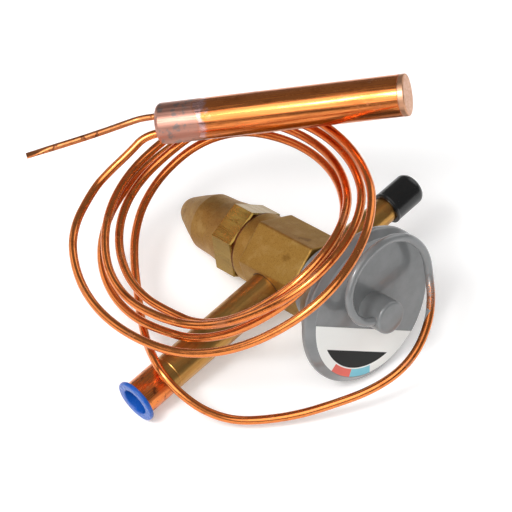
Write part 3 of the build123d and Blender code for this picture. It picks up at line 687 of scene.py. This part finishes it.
@dataclass(frozen=True)
class PrintedLabel(Finish):
    """The label's film: a black segment and two coloured sectors on white."""

    straight_edge: float = 16.0
    field_radius: float = 22.2
    ring_width: float = 0.45
    sector: float = 22.5
    white: Colour = (0.90, 0.90, 0.87)
    black: Colour = (0.010, 0.010, 0.010)
    red: Colour = (0.82, 0.17, 0.13)
    blue: Colour = (0.22, 0.58, 0.70)
    grime: Colour = (0.5, 0.48, 0.43)
    grime_share: float = 0.08
    soft: float = 0.06
    blunt: float = 0.003

    def dress(self, sheet: NodeSheet, shader: bpy.types.NodeInputs) -> None:
        """Fills the shader's inputs."""
        here = self.place(sheet)
        apart = sheet.node("SeparateXYZ")
        sheet.feed(apart.inputs[0], here)
        along, across = apart.outputs[0], apart.outputs[1]
        flat = sheet.scaled(here, (1.0, 1.0, 0.0))
        radius = sheet.vector("LENGTH", flat)
        turn = sheet.math("ARCTAN2", across, along)
        soft, blunt = self.soft, self.blunt
        inside = sheet.step(radius, self.field_radius + soft, self.field_radius - soft)
        beyond = sheet.step(along, self.straight_edge - soft, self.straight_edge + soft)
        black = sheet.math("MULTIPLY", inside, beyond)
        ring_low = self.field_radius + self.ring_width
        outer = sheet.step(radius, ring_low - soft, ring_low + soft)
        limit = math.radians(self.sector)
        near = sheet.step(sheet.math("ABSOLUTE", turn), limit + blunt, limit - blunt)
        coloured = sheet.math("MULTIPLY", outer, near)
        first = sheet.step(turn, -blunt, blunt)
        fibre = sheet.noise(here, 3.0, 3.0)
        colour = sheet.mix(first, self.blue, self.red)
        colour = sheet.mix(coloured, self.white, colour)
        colour = sheet.mix(black, colour, self.black)
        grime = sheet.effect(Effect.BLOTCH, Vector=here, Scale=0.25, Cover=0.2)
        colour = sheet.layer(grime.outputs["Mask"], self.grime_share, colour, self.grime)
        sheet.feed(shader["Base Color"], colour)
        sheet.feed(shader["Roughness"], sheet.between(fibre, 0.34, 0.46))
        sheet.feed(shader["Normal"], sheet.bump(fibre, 0.01))


@dataclass(frozen=True)
class MouldedPlastic(Finish):
    """Moulded or dipped plastic with faint flow marks and scuffs."""

    colour: Colour = (0.008, 0.085, 0.40)
    pale: Colour = (0.05, 0.20, 0.56)
    roughness: tuple[float, float] = (0.18, 0.36)
    peel: float = 0.02
    edge: float = 0.2
    edge_share: float = 0.5
    scuff_share: float = 0.25

    def dress(self, sheet: NodeSheet, shader: bpy.types.NodeInputs) -> None:
        """Fills the shader's inputs."""
        here = self.place(sheet)
        flow = sheet.noise(here, 0.5, 4.0)
        fine = sheet.noise(here, 2.2, 3.0)
        wear = sheet.effect(Effect.WEAR, Vector=here, Radius=self.edge * MM)
        scuff = sheet.effect(Effect.BLOTCH, Vector=here, Scale=0.7, Cover=0.15)
        colour = sheet.layer(wear.outputs["Mask"], self.edge_share, self.colour, self.pale)
        colour = sheet.layer(scuff.outputs["Mask"], self.scuff_share, colour, self.pale)
        low, high = self.roughness
        sheet.feed(shader["Base Color"], colour)
        sheet.feed(shader["Roughness"], sheet.between(flow, low, high))
        sheet.feed(shader["Normal"], sheet.bump(fine, self.peel))


def rounded(points: Profile, radii: Sequence[float], steps: int = 6) -> list[tuple[float, float]]:
    """Rounds the corners of a closed profile.

    Args:
        points: The corners, as radius and height.
        radii: One rounding for each corner, 0 for a sharp one.
        steps: The number of short edges in each rounding.

    Returns:
        The new profile.
    """
    made: list[tuple[float, float]] = []
    count = len(points)
    for index, radius in enumerate(radii):
        corner = Vector(points[index])
        before = Vector(points[index - 1]) - corner
        after = Vector(points[(index + 1) % count]) - corner
        if radius <= 0:
            made.append(tuple(corner))
            continue
        half = before.angle(after) / 2
        cut = min(radius / math.tan(half), 0.49 * before.length, 0.49 * after.length)
        start = corner + before.normalized() * cut
        end = corner + after.normalized() * cut
        middle = corner + (before.normalized() + after.normalized()).normalized() * cut / math.cos(half)
        real = cut * math.tan(half)
        first = (start - middle).normalized()
        sweep = first.angle((end - middle).normalized())
        turn = 1.0 if first.cross(end - middle) > 0 else -1.0
        for step in range(steps + 1):
            angle = math.atan2(first.y, first.x) + turn * sweep * step / steps
            made.append((middle.x + real * math.cos(angle), middle.y + real * math.sin(angle)))
    return made


class Workshop:
    """Makes meshes and puts them on the part."""

    @staticmethod
    def finish_mesh(name: str, sheet: bmesh.types.BMesh) -> bpy.types.Object:
        """Turns a bmesh into a shaded piece, with its hard edges kept sharp.

        Args:
            name: The piece's name.
            sheet: The geometry, which is freed.

        Returns:
            The object.
        """
        bmesh.ops.remove_doubles(sheet, verts=sheet.verts, dist=WELD)
        bmesh.ops.recalc_face_normals(sheet, faces=sheet.faces)
        for face in sheet.faces:
            face.smooth = True
        for edge in sheet.edges:
            edge.smooth = edge.calc_face_angle(0.0) < SHARP_EDGE
        mesh = bpy.data.meshes.new(name)
        sheet.to_mesh(mesh)
        sheet.free()
        made = bpy.data.objects.new(name, mesh)
        bpy.context.scene.collection.objects.link(made)
        return made

    @classmethod
    def wrapped(cls, name: str, rings: Sequence[Sequence[Vector]], closed: bool) -> bpy.types.Object:
        """Joins rings of points into a skin.

        Args:
            name: The piece's name.
            rings: Rings with the same number of points, or with one point for a pole.
            closed: Whether the last ring joins the first; otherwise the ends are capped.

        Returns:
            The object.
        """
        sheet = bmesh.new()
        rows = [[sheet.verts.new(point) for point in ring] for ring in rings]
        pairs = list(zip(rows, rows[1:]))
        if closed:
            pairs.append((rows[-1], rows[0]))
        for low, high in pairs:
            count = max(len(low), len(high))
            for index in range(count):
                after = (index + 1) % count
                corners = [low[index % len(low)], low[after % len(low)], high[after % len(high)]]
                corners.append(high[index % len(high)])
                unique = list(dict.fromkeys(corners))
                sheet.faces.new(unique)
        if not closed:
            for row in (rows[0], rows[-1]):
                if len(row) > 2:
                    sheet.faces.new(row)
        return cls.finish_mesh(name, sheet)

    @classmethod
    def turned(
        cls,
        name: str,
        stand: Stand,
        profile: Profile,
        shape: Optional[Callable[[float, float, float], float]] = None,
        segments: int = 160,
    ) -> bpy.types.Object:
        """Turns a closed profile round a stand's axis.

        Args:
            name: The piece's name.
            stand: The axes.
            profile: Radius and height of each corner, in millimetres.
            shape: Gives the true radius from the profile's radius, the angle and the height.
            segments: The number of steps round the axis.

        Returns:
            The object.
        """
        rings = []
        for radius, height in profile:
            if radius < ON_AXIS:
                rings.append([stand.at(0, 0, height)])
                continue
            ring = []
            for step in range(segments):
                angle = FULL_TURN * step / segments
                real = shape(radius, angle, height) if shape else radius
                ring.append(stand.ring(real, angle, height))
            rings.append(ring)
        return cls.wrapped(name, rings, closed=min(radius for radius, _ in profile) > ON_AXIS)

    @staticmethod
    def line(name: str, points: Sequence[Vector]) -> bpy.types.Object:
        """Makes a smooth open line with these control points.

        Args:
            name: The curve's name.
            points: The control points, in metres.

        Returns:
            The curve object.
        """
        curve = bpy.data.curves.new(name, "CURVE")
        curve.dimensions = "3D"
        spline = curve.splines.new("NURBS")
        spline.points.add(len(points) - 1)
        for place, point in zip(spline.points, points):
            place.co = (*point, 1.0)
        spline.order_u = 3
        spline.use_endpoint_u = True
        spline.resolution_u = 10
        made = bpy.data.objects.new(name, curve)
        bpy.context.scene.collection.objects.link(made)
        return made

    @staticmethod
    def put(piece: bpy.types.Object, body: str, slot: Slot, material: bpy.types.Material) -> None:
        """Gives a piece its material and the body that it rides on.

        Args:
            piece: The piece.
            body: The CAD body's name.
            slot: The record's slot; not used.
            material: Its material.
        """
        piece.data.materials.clear()
        piece.data.materials.append(material)
        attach(piece, body)
        LOG.info("made %s on %s", piece.name, body)

    @staticmethod
    def dress(names: Iterable[str], material: bpy.types.Material) -> None:
        """Gives CAD nodes a material.

        Args:
            names: The nodes.
            material: The material.
        """
        for name in names:
            node = frame["nodes"][name]
            node.data.materials.clear()
            node.data.materials.append(material)
            LOG.info("dressed %s", name)


@dataclass
class PowerElement:
    """The painted power element with its label."""

    stand: Stand
    face_height: float = 39.6
    label_turn: float = 46.5
    boss_rounding: float = 1.1
    boss_foot_rounding: float = 0.05

    def build(self) -> None:
        """Dresses the shells and the label, and makes the boss."""
        paint = ElementPaint(self.stand, metallic=0.0).build("element_paint")
        Workshop.dress(("element_base", "element_cover"), paint)
        self.build_boss(paint)
        turn = math.radians(self.label_turn)
        way = self.stand.x * math.cos(turn) - self.stand.y * math.sin(turn)
        along = self.stand.x * math.sin(turn) + self.stand.y * math.cos(turn)
        label_stand = Stand(self.stand.at(0, 0, self.face_height), way, along, self.stand.z)
        label = PrintedLabel(label_stand, metallic=0.0, specular=0.2).build("label_film")
        Workshop.dress(("element_label",), label)

    def build_boss(self, paint: bpy.types.Material) -> None:
        """Makes the boss with its soft painted edge.

        Args:
            paint: The element's paint.
        """
        places = [self.stand.local(v.co) for v in frame["nodes"]["capillary_boss"].data.vertices]
        low, high = min(place.z for place in places), max(place.z for place in places)
        radius = max(math.hypot(place.x, place.y) for place in places)
        corners = [(0.0, low), (radius, low), (radius, high), (0.0, high)]
        profile = rounded(corners, [0, self.boss_foot_rounding, self.boss_rounding, 0], steps=10)
        piece = Workshop.turned("capillary_boss_painted", self.stand, profile)
        Workshop.put(piece, "valve", Slot.PAINT, paint)
        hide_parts("capillary_boss")


@dataclass
class SealCap:
    """The seal cap: machined flats and a cast dome."""

    stand: Stand
    hex_end: float = -28.6
    border: float = 0.05

    def build(self) -> None:
        """Dresses the cap: bright machined flats, and a tan cast part behind them."""
        machined = DrawnMetal(
            self.stand,
            colour=(0.30, 0.19, 0.046),
            dark=(0.18, 0.10, 0.020),
            stain_colour=(0.22, 0.125, 0.028),
            roughness=(0.20, 0.30),
            line_scale=0.5,
            line_share=0.12,
            stains=0.25,
            depth=0.003,
        ).build("cap_machined")
        cast = BlastedMetal(
            self.stand,
            colour=(0.35, 0.190, 0.050),
            dark=(0.17, 0.080, 0.018),
            scale=1.7,
            depth=0.12,
            roughness=(0.42, 0.62),
        ).build("cap_cast")
        cap = frame["nodes"]["seal_cap"]
        Workshop.dress(("seal_cap",), machined)
        cap.data.materials.append(cast)
        for polygon in cap.data.polygons:
            height = self.stand.local(Vector(polygon.center)).z
            polygon.material_index = 1 if height < self.hex_end - self.border else 0


@dataclass
class BodyAndTubes:
    """The forged body, the two connections and what is inside the valve."""

    parts: PartFrame
    cap_mouth: float = 38.0
    cap_end: float = 52.4
    cap_radius: float = 6.15
    inlet_radius: float = 4.7625
    inlet_end: float = 50.5
    plug_face: float = 76.9
    plug_seat: float = 75.3
    flange_radius: float = 8.0
    insert_radius: float = 5.5
    insert_start: float = 65.3
    insert_wall: float = 0.5
    insert_lead: tuple[float, float] = (0.3, 1.2)
    cap_lip: float = 1.3
    cap_lip_step: float = 0.15
    cap_clearance: float = 0.05
    cap_waver: float = 0.06
    # Search distance and half width of the dark ring at the outlet, which is painted shadow.
    shadow_ring_reach: float = 12.0
    shadow_ring_width: float = 0.22
    inner_metals: tuple[tuple[str, tuple[str, ...], dict[str, object]], ...] = (
        (
            "turned_brass",
            ("rod_guide", "pin_carrier", "spring_guide", "bottom_plug", "gland_nut", "adjusting_stem"),
            {
                "colour": (0.66, 0.45, 0.16),
                "dark": (0.40, 0.24, 0.07),
                "stain_colour": (0.48, 0.30, 0.10),
                "stains": 0.1,
            },
        ),
        (
            "steel",
            ("seat_insert", "valve_pin", "push_rods", "buffer_plate", "diaphragm", "inlet_strainer"),
            {
                "colour": (0.58, 0.58, 0.57),
                "dark": (0.33, 0.33, 0.32),
                "stain_colour": (0.45, 0.43, 0.40),
                "stains": 0.1,
            },
        ),
        (
            "spring_steel",
            ("superheat_spring",),
            {"colour": (0.42, 0.41, 0.39), "dark": (0.16, 0.16, 0.15), "stain_colour": (0.30, 0.26, 0.20)},
        ),
        (
            "ring_copper",
            ("cap_gasket",),
            {
                "colour": (0.16, 0.055, 0.020),
                "dark": (0.05, 0.016, 0.006),
                "stain_colour": (0.08, 0.03, 0.015),
                "roughness": (0.5, 0.65),
            },
        ),
    )

    def build(self) -> None:
        """Dresses the body, makes the plug and the cap, and dresses the inner pieces."""
        body = BlastedMetal(self.parts.valve).build("body_brass")
        Workshop.dress(("valve_body",), body)
        sleeve = DrawnMetal(
            self.parts.outlet,
            colour=(0.50, 0.27, 0.075),
            dark=(0.26, 0.105, 0.020),
            stain_colour=(0.28, 0.10, 0.030),
            roughness=(0.28, 0.42),
            line_share=0.25,
            depth=0.005,
            stains=0.45,
        ).build("tube_brass")
        Workshop.dress(("outlet_sleeve", "inlet_tube"), sleeve)
        end = EndCopper(self.parts.outlet, roughness=(0.22, 0.38)).build("end_copper")
        Workshop.dress(("outlet_end",), end)
        # The dark ring at the outlet is painted shadow for the gap where the tube enters the body.
        self.build_painted_shadow_ring()
        self.build_plug()
        self.build_cap()
        self.dress_inner()

    def build_painted_shadow_ring(self) -> None:
        """Makes a dark ring round the outlet tube where it leaves the body: painted shadow standing in for
        the shaded gap there.
        """
        axes = self.parts.outlet
        body = [axes.local(v.co) for v in frame["nodes"]["valve_body"].data.vertices]
        sleeve = [axes.local(v.co) for v in frame["nodes"]["outlet_sleeve"].data.vertices]
        near = [place.z for place in body if math.hypot(place.x, place.y) < self.shadow_ring_reach]
        start = max(height for height in near if height > 0)
        reaches = [math.hypot(place.x, place.y) for place in sleeve if abs(place.z - start) < self.shadow_ring_reach]
        inner, outer = max(reaches) - self.shadow_ring_width, max(reaches) + self.shadow_ring_width
        low, high = start - self.shadow_ring_width, start + self.shadow_ring_width
        profile = [(inner, low), (outer, low), (outer, high)]
        piece = Workshop.turned("outlet_painted_shadow_ring", axes, rounded(profile, [0, 0.1, 0.1], steps=3), segments=96)
        # Near-black colour: painted shadow standing in for the shade in the gap between tube and body.
        shadow_finish = MouldedPlastic(
            axes, metallic=0.0, colour=(0.016, 0.010, 0.006), pale=(0.05, 0.03, 0.02), roughness=(0.6, 0.8)
        ).build("painted_shadow_dark")
        Workshop.put(piece, "valve", Slot.PACKING, shadow_finish)

    def build_plug(self) -> None:
        """Makes the blue plug with its rolled flange and hollow insert."""
        wall = self.insert_wall
        face, seat = self.plug_face, self.plug_seat
        lead_in, lead_length = self.insert_lead
        profile = rounded(
            [
                (0.0, self.insert_start),
                (self.insert_radius - lead_in, self.insert_start),
                (self.insert_radius, self.insert_start + lead_length),
                (self.insert_radius, seat),
                (self.flange_radius, seat),
                (self.flange_radius, face),
                (self.insert_radius - wall, face),
                (self.insert_radius - wall, self.insert_start + wall),
                (0.0, self.insert_start + wall),
            ],
            [0, 0.3, 0.4, 0.15, 0.55, 0.55, 0.5, 0.3, 0],
        )
        piece = Workshop.turned("outlet_plug_moulding", self.parts.outlet, profile)
        plastic = MouldedPlastic(self.parts.outlet, metallic=0.0).build("blue_plastic")
        Workshop.put(piece, "plug", Slot.BLUE_PLASTIC, plastic)
        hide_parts("outlet_plug")

    def build_cap(self) -> None:
        """Makes the dipped cap with its thick lip."""
        radius, lip = self.cap_radius, self.cap_lip
        inner = self.inlet_radius + self.cap_clearance
        profile = rounded(
            [
                (0.0, self.cap_end),
                (radius - self.cap_lip_step, self.cap_end),
                (radius - self.cap_lip_step, self.cap_mouth + lip),
                (radius, self.cap_mouth + lip * 0.7),
                (radius, self.cap_mouth),
                (inner, self.cap_mouth),
                (inner, self.inlet_end),
                (0.0, self.inlet_end),
            ],
            [0, 5.0, 0.4, 0.3, 0.45, 0.2, 0, 0],
            steps=12,
        )

        def slack(size: float, angle: float, height: float) -> float:
            """Lets the soft skin waver a little."""
            if size < inner + self.cap_lip_step:
                return size
            place = Vector((math.cos(angle), math.sin(angle), height * 0.3)) * 1.5
            return size - self.cap_waver - self.cap_waver * noise.noise(place)

        piece = Workshop.turned("inlet_cap_vinyl", self.parts.inlet, profile, slack)
        vinyl = MouldedPlastic(
            self.parts.inlet,
            metallic=0.0,
            colour=(0.006, 0.006, 0.006),
            pale=(0.05, 0.05, 0.05),
            roughness=(0.16, 0.32),
        ).build("black_vinyl")
        Workshop.put(piece, "inlet_cover", Slot.BLACK_VINYL, vinyl)
        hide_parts("inlet_cap")

    def dress_inner(self) -> None:
        """Dresses what is inside the valve, under the seal cap and between the shells."""
        for name, nodes, looks in self.inner_metals:
            Workshop.dress(nodes, DrawnMetal(self.parts.valve, **looks).build(name))
        packing = MouldedPlastic(
            self.parts.valve,
            metallic=0.0,
            colour=(0.02, 0.02, 0.02),
            pale=(0.08, 0.08, 0.08),
            roughness=(0.5, 0.7),
        ).build("packing")
        Workshop.dress(("stem_packing", "element_gasket"), packing)


@dataclass
class SensingLine:
    """The capillary with the bulb and its charging stub."""

    parts: PartFrame
    diameter: float = 3.0
    boss_radius: float = 6.0
    boss_engagement: float = 2.7
    boss_lead: float = 3.0
    entry_turn: float = 20.0
    entry_height: float = 47.0
    bulb_wall: float = 0.8
    bulb_lead: float = 6.0
    drop: float = 4.0
    stub_lift: float = 3.6
    stub_lead: float = 5.0
    stub_diameter: float = 2.3
    pinch_width: float = 2.6
    pinch_thickness: float = 0.9
    pinch_length: float = 7.0
    pinch_start: float = 1.25
    pinch_squeeze: float = 0.92
    pinch_corner: float = 0.45
    braze_spread: float = 0.55
    braze_sink: float = 0.12
    braze_overlap: float = 0.15
    braze_lift: float = 0.02
    braze_wave: float = 0.3
    coil_middle: tuple[float, float] = (-26.0, 2.0)
    coil_rise: float = 3.9
    coil_start: int = -130
    coil_end: int = 1350
    coil_step: int = 20
    coil_growth: float = 1.008
    list_step: int = 30
    reach_start: int = -180
    boss_loop: tuple[Colour, ...] = (
        (12.3, 9.3, 46.4),
        (12.0, 17.2, 46.0),
        (6.6, 24.0, 45.6),
        (-1.6, 26.8, 45.4),
        (-10.2, 26.4, 45.4),
        (-17.6, 22.0, 45.5),
        (-22.2, 15.0, 45.6),
        (-24.0, 7.0, 45.4),
        (-23.2, -1.5, 44.6),
    )
    swing: tuple[Colour, ...] = (
        (46.9, -23.5, 27.5),
        (45.6, -31.5, 23.5),
        (41.6, -40.0, 19.0),
        (34.8, -46.8, 15.0),
        (25.0, -51.6, 11.5),
        (13.5, -54.5, 8.5),
        (2.0, -57.0, 6.0),
        (-9.5, -58.6, 5.0),
        (-20.5, -59.4, 5.4),
        (-30.5, -58.2, 9.0),
        (-38.8, -55.0, 14.5),
        (-44.6, -50.5, 19.0),
        (-48.0, -43.0, 20.0),
        (-50.2, -34.5, 16.8),
    )
    last_climb: tuple[Colour, ...] = ((-70.0, 18.4, 38.8), (-64.1, 23.9, 42.6), (-57.3, 28.2, 47.2))
    stub_bend: tuple[Colour, ...] = (
        (-56.5, 32.6, 57.9),
        (-64.2, 30.1, 56.4),
        (-73.8, 27.3, 54.6),
        (-86.0, 24.2, 52.3),
    )
    ring_heights: tuple[float, ...] = (42.0, 47.2, 50.8, 54.5, 56.6, 46.4, 23.8, 18.6, 16.9, 20.1, 25.2, 31.9)
    turn_reaches: tuple[tuple[float, ...], ...] = (
        (50.0, 43.0, 31.5, 29.5, 33.0, 38.5),
        (41.5, 39.5, 39.3, 41.7, 47.4, 51.6, 42.3, 39.1, 39.9, 41.4, 41.9, 43.0),
        (43.5, 41.2, 40.6, 42.9, 48.1, 50.1, 40.0, 33.3, 33.0, 34.8, 36.9, 38.0),
        (40.0, 42.0, 42.8, 46.8, 53.7, 56.0, 43.9, 40.3, 40.1, 39.6, 40.3, 41.0),
        (42.5, 43.0, 43.6, 48.4, 58.7, 67.5, 60.8, 55.6, 52.1, 50.6, 46.0, 41.0),
    )

    @staticmethod
    def smooth_value(values: Sequence[float], place: float) -> float:
        """Gives the value at a place between the listed ones, on a smooth curve through them.

        Args:
            values: The listed values.
            place: The place, in steps of the list.

        Returns:
            The value there.
        """
        first = math.floor(place)
        part = place - first
        before, low, high, after = (values[(first + k) % len(values)] for k in (-1, 0, 1, 2))
        bend = 2 * before - 5 * low + 4 * high - after
        return low + 0.5 * part * (high - before + part * (bend + part * (3 * (low - high) + after - before)))

    def on_floor_axes(self, points: Iterable[Colour]) -> list[Vector]:
        """Turns points measured from the foot of the valve's middle into the part's frame."""
        return [self.parts.foot + Vector(point) * MM for point in points]

    def coil(self) -> list[Colour]:
        """Works out the turns of the coil, clockwise from the north."""
        reaches = [value for turn in self.turn_reaches for value in turn]
        made = []
        for angle in range(self.coil_start, self.coil_end + 1, self.coil_step):
            reach = self.coil_growth * self.smooth_value(reaches, (angle - self.reach_start) / self.list_step)
            height = self.smooth_value(self.ring_heights, angle / self.list_step)
            height += self.coil_rise * angle / 360
            east = self.coil_middle[0] + reach * math.sin(math.radians(angle))
            north = self.coil_middle[1] + reach * math.cos(math.radians(angle))
            made.append((east, north, height))
        return made

    def route(self) -> list[Vector]:
        """Gives the capillary's control points, from the boss to the bulb."""
        valve, bulb = self.parts.valve, self.parts.bulb
        turn = math.radians(self.entry_turn)
        radii = (self.boss_radius - self.boss_engagement, self.boss_radius + self.boss_lead)
        points = [valve.ring(radius, turn, self.entry_height) for radius in radii]
        points += [valve.at(*point) for point in self.boss_loop]
        points += self.on_floor_axes(self.swing)
        points += self.on_floor_axes(self.coil())
        points += self.on_floor_axes(self.last_climb)
        points += [bulb.at(-self.drop, 0, -self.bulb_lead), bulb.at(-self.drop, 0, self.bulb_wall)]
        return points

    def build_stub(self, material: bpy.types.Material) -> bpy.types.Object:
        """Makes the charging stub, pinched flat at its tip.

        Args:
            material: Its copper.

        Returns:
            The stub.
        """
        bulb = self.parts.bulb
        points = [bulb.at(self.stub_lift, 0, self.bulb_wall), bulb.at(self.stub_lift, 0, -self.stub_lead)]
        points += self.on_floor_axes(self.stub_bend)
        tip = (points[-1] - points[-2]).normalized()
        points.append(points[-1] + tip * self.pinch_length * MM)
        guide = Workshop.line("stub_guide", points)
        bpy.context.view_layer.update()
        sampled = bpy.data.meshes.new_from_object(guide)
        places = [v.co.copy() for v in sampled.vertices]
        bpy.data.objects.remove(guide)
        rings = []
        count = len(places)
        end = places[-1]
        segments = 32
        for index, place in enumerate(places):
            way = (places[min(index + 1, count - 1)] - places[max(index - 1, 0)]).normalized()
            side = Vector((0, 0, 1)).cross(way).normalized()
            top = way.cross(side)
            left = (end - place).length / MM
            flat = min(1.0, max(0.0, self.pinch_start - left / self.pinch_length))
            flat = flat * flat * (3 - 2 * flat)
            round_share = self.stub_diameter * (1 - flat)
            half_width = (round_share + self.pinch_width * flat) / 2 * MM
            half_high = (round_share + self.pinch_thickness * self.pinch_squeeze * flat) / 2 * MM
            ring = []
            for step in range(segments):
                angle = FULL_TURN * step / segments
                power = 1.0 - self.pinch_corner * flat
                across = math.copysign(abs(math.cos(angle)) ** power, math.cos(angle)) * half_width
                up = math.copysign(abs(math.sin(angle)) ** power, math.sin(angle)) * half_high
                ring.append(place + side * across + top * up)
            rings.append(ring)
        piece = Workshop.wrapped("charging_stub_tube", rings, closed=False)
        Workshop.put(piece, "valve", Slot.COPPER, material)
        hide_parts("charging_stub")
        return piece

    def build_braze(self, name: str, stand: Stand, radius: float, material: bpy.types.Material) -> None:
        """Makes the small fillet where a tube enters a wall.

        Args:
            name: The piece's name.
            stand: Axes with z out of the wall.
            radius: The tube's radius.
            material: Its material.
        """
        spread = self.braze_spread
        steps = 7
        outer = []
        for step in range(steps + 1):
            angle = math.pi / 2 * step / steps
            run_out = spread * (1 - math.sin(angle)) + self.braze_lift
            outer.append((radius + run_out, spread * (1 - math.cos(angle))))
        inner = radius - self.braze_overlap
        profile = [(inner, -self.braze_sink), (radius + spread, -self.braze_sink), *outer, (inner, spread)]

        def uneven(size: float, angle: float, height: float) -> float:
            """Makes the fillet run out unevenly."""
            if size < radius:
                return size
            wave = noise.noise(Vector((math.cos(angle) * 1.7, math.sin(angle) * 1.7, height)))
            return radius + (size - radius) * (1 + self.braze_wave * wave)

        piece = Workshop.turned(name, stand, profile, uneven, segments=64)
        Workshop.put(piece, "valve", Slot.COPPER, material)

    def build(self) -> None:
        """Makes the capillary, the stub and their brazed joints, and dresses the bulb."""
        valve, bulb = self.parts.valve, self.parts.bulb
        points = self.route()
        capillary = Workshop.line("capillary_tube", points)
        capillary.data.bevel_depth = self.diameter / 2 * MM
        capillary.data.bevel_resolution = 6
        capillary.data.use_fill_caps = True
        copper = LinePaint(
            valve,
            roughness=(0.17, 0.26),
            stain_scale=0.12,
            stains=0.35,
            line_scale=0.6,
            depth=0.001,
            line_share=0.12,
        ).build("capillary_copper")
        Workshop.put(capillary, "valve", Slot.COPPER, copper)
        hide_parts("capillary")
        bulb_copper = BulbCopper(bulb, roughness=(0.12, 0.30)).build("bulb_copper")
        Workshop.dress(("bulb_shell",), bulb_copper)
        disc = DrawnMetal(
            bulb,
            colour=(0.66, 0.36, 0.22),
            dark=(0.42, 0.19, 0.10),
            stain_colour=(0.62, 0.38, 0.27),
            roughness=(0.34, 0.50),
        ).build("disc_copper")
        Workshop.dress(("bulb_end_disc",), disc)
        stub_copper = EndCopper(bulb, colour=(0.62, 0.24, 0.09), roughness=(0.30, 0.45)).build("stub_copper")
        stub = self.build_stub(stub_copper)
        for name, lift, radius in (
            ("capillary_braze", -self.drop, self.diameter / 2),
            ("stub_braze", self.stub_lift, self.stub_diameter / 2),
        ):
            seat = Stand(bulb.at(lift, 0, 0), bulb.x, bulb.y, -bulb.z)
            self.build_braze(name, seat, radius, disc)


@dataclass
class Studio:
    """The floor, the light and the camera."""

    foot: Vector
    elevation: float = 45.45
    focal_pixels: float = 2654.0
    image_size: int = 512
    sensor: float = 36.0
    camera_place: Colour = (-13.03, -648.3, 682.97)
    floor_size: float = 4.0
    floor_colour: Colour = (0.93, 0.93, 0.93)
    floor_lift: float = 0.22
    floor_roughness: float = 0.9
    floor_specular: float = 0.1
    near_clip: float = 0.01
    lamp_place: Colour = (-0.35, -0.45, 0.75)
    lamp_size: float = 0.22
    lamp_power: float = 3.5
    lamp_aim_height: float = 0.03
    zones: tuple[tuple[Colour, float, float, float], ...] = (
        ((-0.25, -0.62, 0.74), 30.0, 5.0, 2.2),
        ((0.55, 0.65, 0.55), 22.0, 5.0, 1.2),
        ((-0.85, 0.25, 0.45), 18.0, 4.0, 1.1),
    )
    ambient: float = 0.22

    def build_camera(self) -> None:
        """Sets the camera at the photograph's viewing angle."""
        data = bpy.data.cameras.new("camera")
        data.sensor_width = self.sensor
        data.lens = self.focal_pixels * self.sensor / self.image_size
        data.clip_start = self.near_clip
        camera = bpy.data.objects.new("camera", data)
        camera.location = self.foot + Vector(self.camera_place) * MM
        camera.rotation_euler = (math.radians(90 - self.elevation), 0, 0)
        bpy.context.scene.collection.objects.link(camera)
        bpy.context.scene.camera = camera

    def build_floor(self) -> None:
        """Lays the pale floor."""
        sheet = bmesh.new()
        bmesh.ops.create_grid(sheet, x_segments=2, y_segments=2, size=self.floor_size / 2)
        floor = Workshop.finish_mesh("floor", sheet)
        material = bpy.data.materials.new("floor_paper")
        material.use_nodes = True
        shader = material.node_tree.nodes["Principled BSDF"]
        shader.inputs["Base Color"].default_value = (*self.floor_colour, 1)
        shader.inputs["Roughness"].default_value = self.floor_roughness
        shader.inputs["Specular IOR Level"].default_value = self.floor_specular
        shader.inputs["Emission Color"].default_value = (1, 1, 1, 1)
        sheet = NodeSheet(material.node_tree)
        rays = sheet.node("LightPath").outputs
        seen = sheet.math("ADD", rays["Is Camera Ray"], rays["Is Transmission Ray"])
        seen = sheet.math("ADD", seen, rays["Is Glossy Ray"])
        sheet.feed(shader.inputs["Emission Strength"], sheet.math("MULTIPLY", seen, self.floor_lift))
        floor.data.materials.append(material)

    def build_world(self) -> None:
        """Makes the soft light: a grey room with large bright panels."""
        world = bpy.data.worlds.new("studio")
        world.use_nodes = True
        bpy.context.scene.world = world
        sheet = NodeSheet(world.node_tree)
        way = sheet.node("TexCoord").outputs["Generated"]
        level: object = self.ambient
        for direction, half_angle, blur, strength in self.zones:
            close = sheet.vector("DOT_PRODUCT", way, Vector(direction).normalized())
            outer = math.cos(math.radians(half_angle + blur))
            inner = math.cos(math.radians(half_angle))
            lit = sheet.step(close, outer, inner)
            level = sheet.math("MULTIPLY_ADD", lit, strength, level)
        background = world.node_tree.nodes["Background"]
        sheet.feed(background.inputs["Strength"], level)
        background.inputs["Color"].default_value = (1, 1, 1, 1)

    def build_lamp(self) -> None:
        """Hangs the soft key lamp, which faces the part."""
        data = bpy.data.lights.new("key_lamp", "AREA")
        data.size = self.lamp_size
        data.energy = self.lamp_power
        lamp = bpy.data.objects.new("key_lamp", data)
        lamp.location = self.lamp_place
        aim = self.foot + Vector((0, 0, self.lamp_aim_height)) - lamp.location
        lamp.rotation_euler = aim.to_track_quat("-Z", "Y").to_euler()
        bpy.context.scene.collection.objects.link(lamp)

    def build(self) -> None:
        """Sets up everything round the part."""
        bpy.context.scene.view_settings.view_transform = "Standard"
        self.build_camera()
        self.build_floor()
        self.build_world()
        self.build_lamp()


def main() -> None:
    """Builds the scene in order: camera, cord, element, body and cap."""
    logging.basicConfig(level=logging.INFO, format="%(name)s: %(message)s")
    parts = PartFrame(frame["record"])
    Studio(parts.foot).build()
    SensingLine(parts).build()
    PowerElement(parts.valve).build()
    BodyAndTubes(parts).build()
    SealCap(parts.valve).build()


if __name__ == "__main__":
    main()
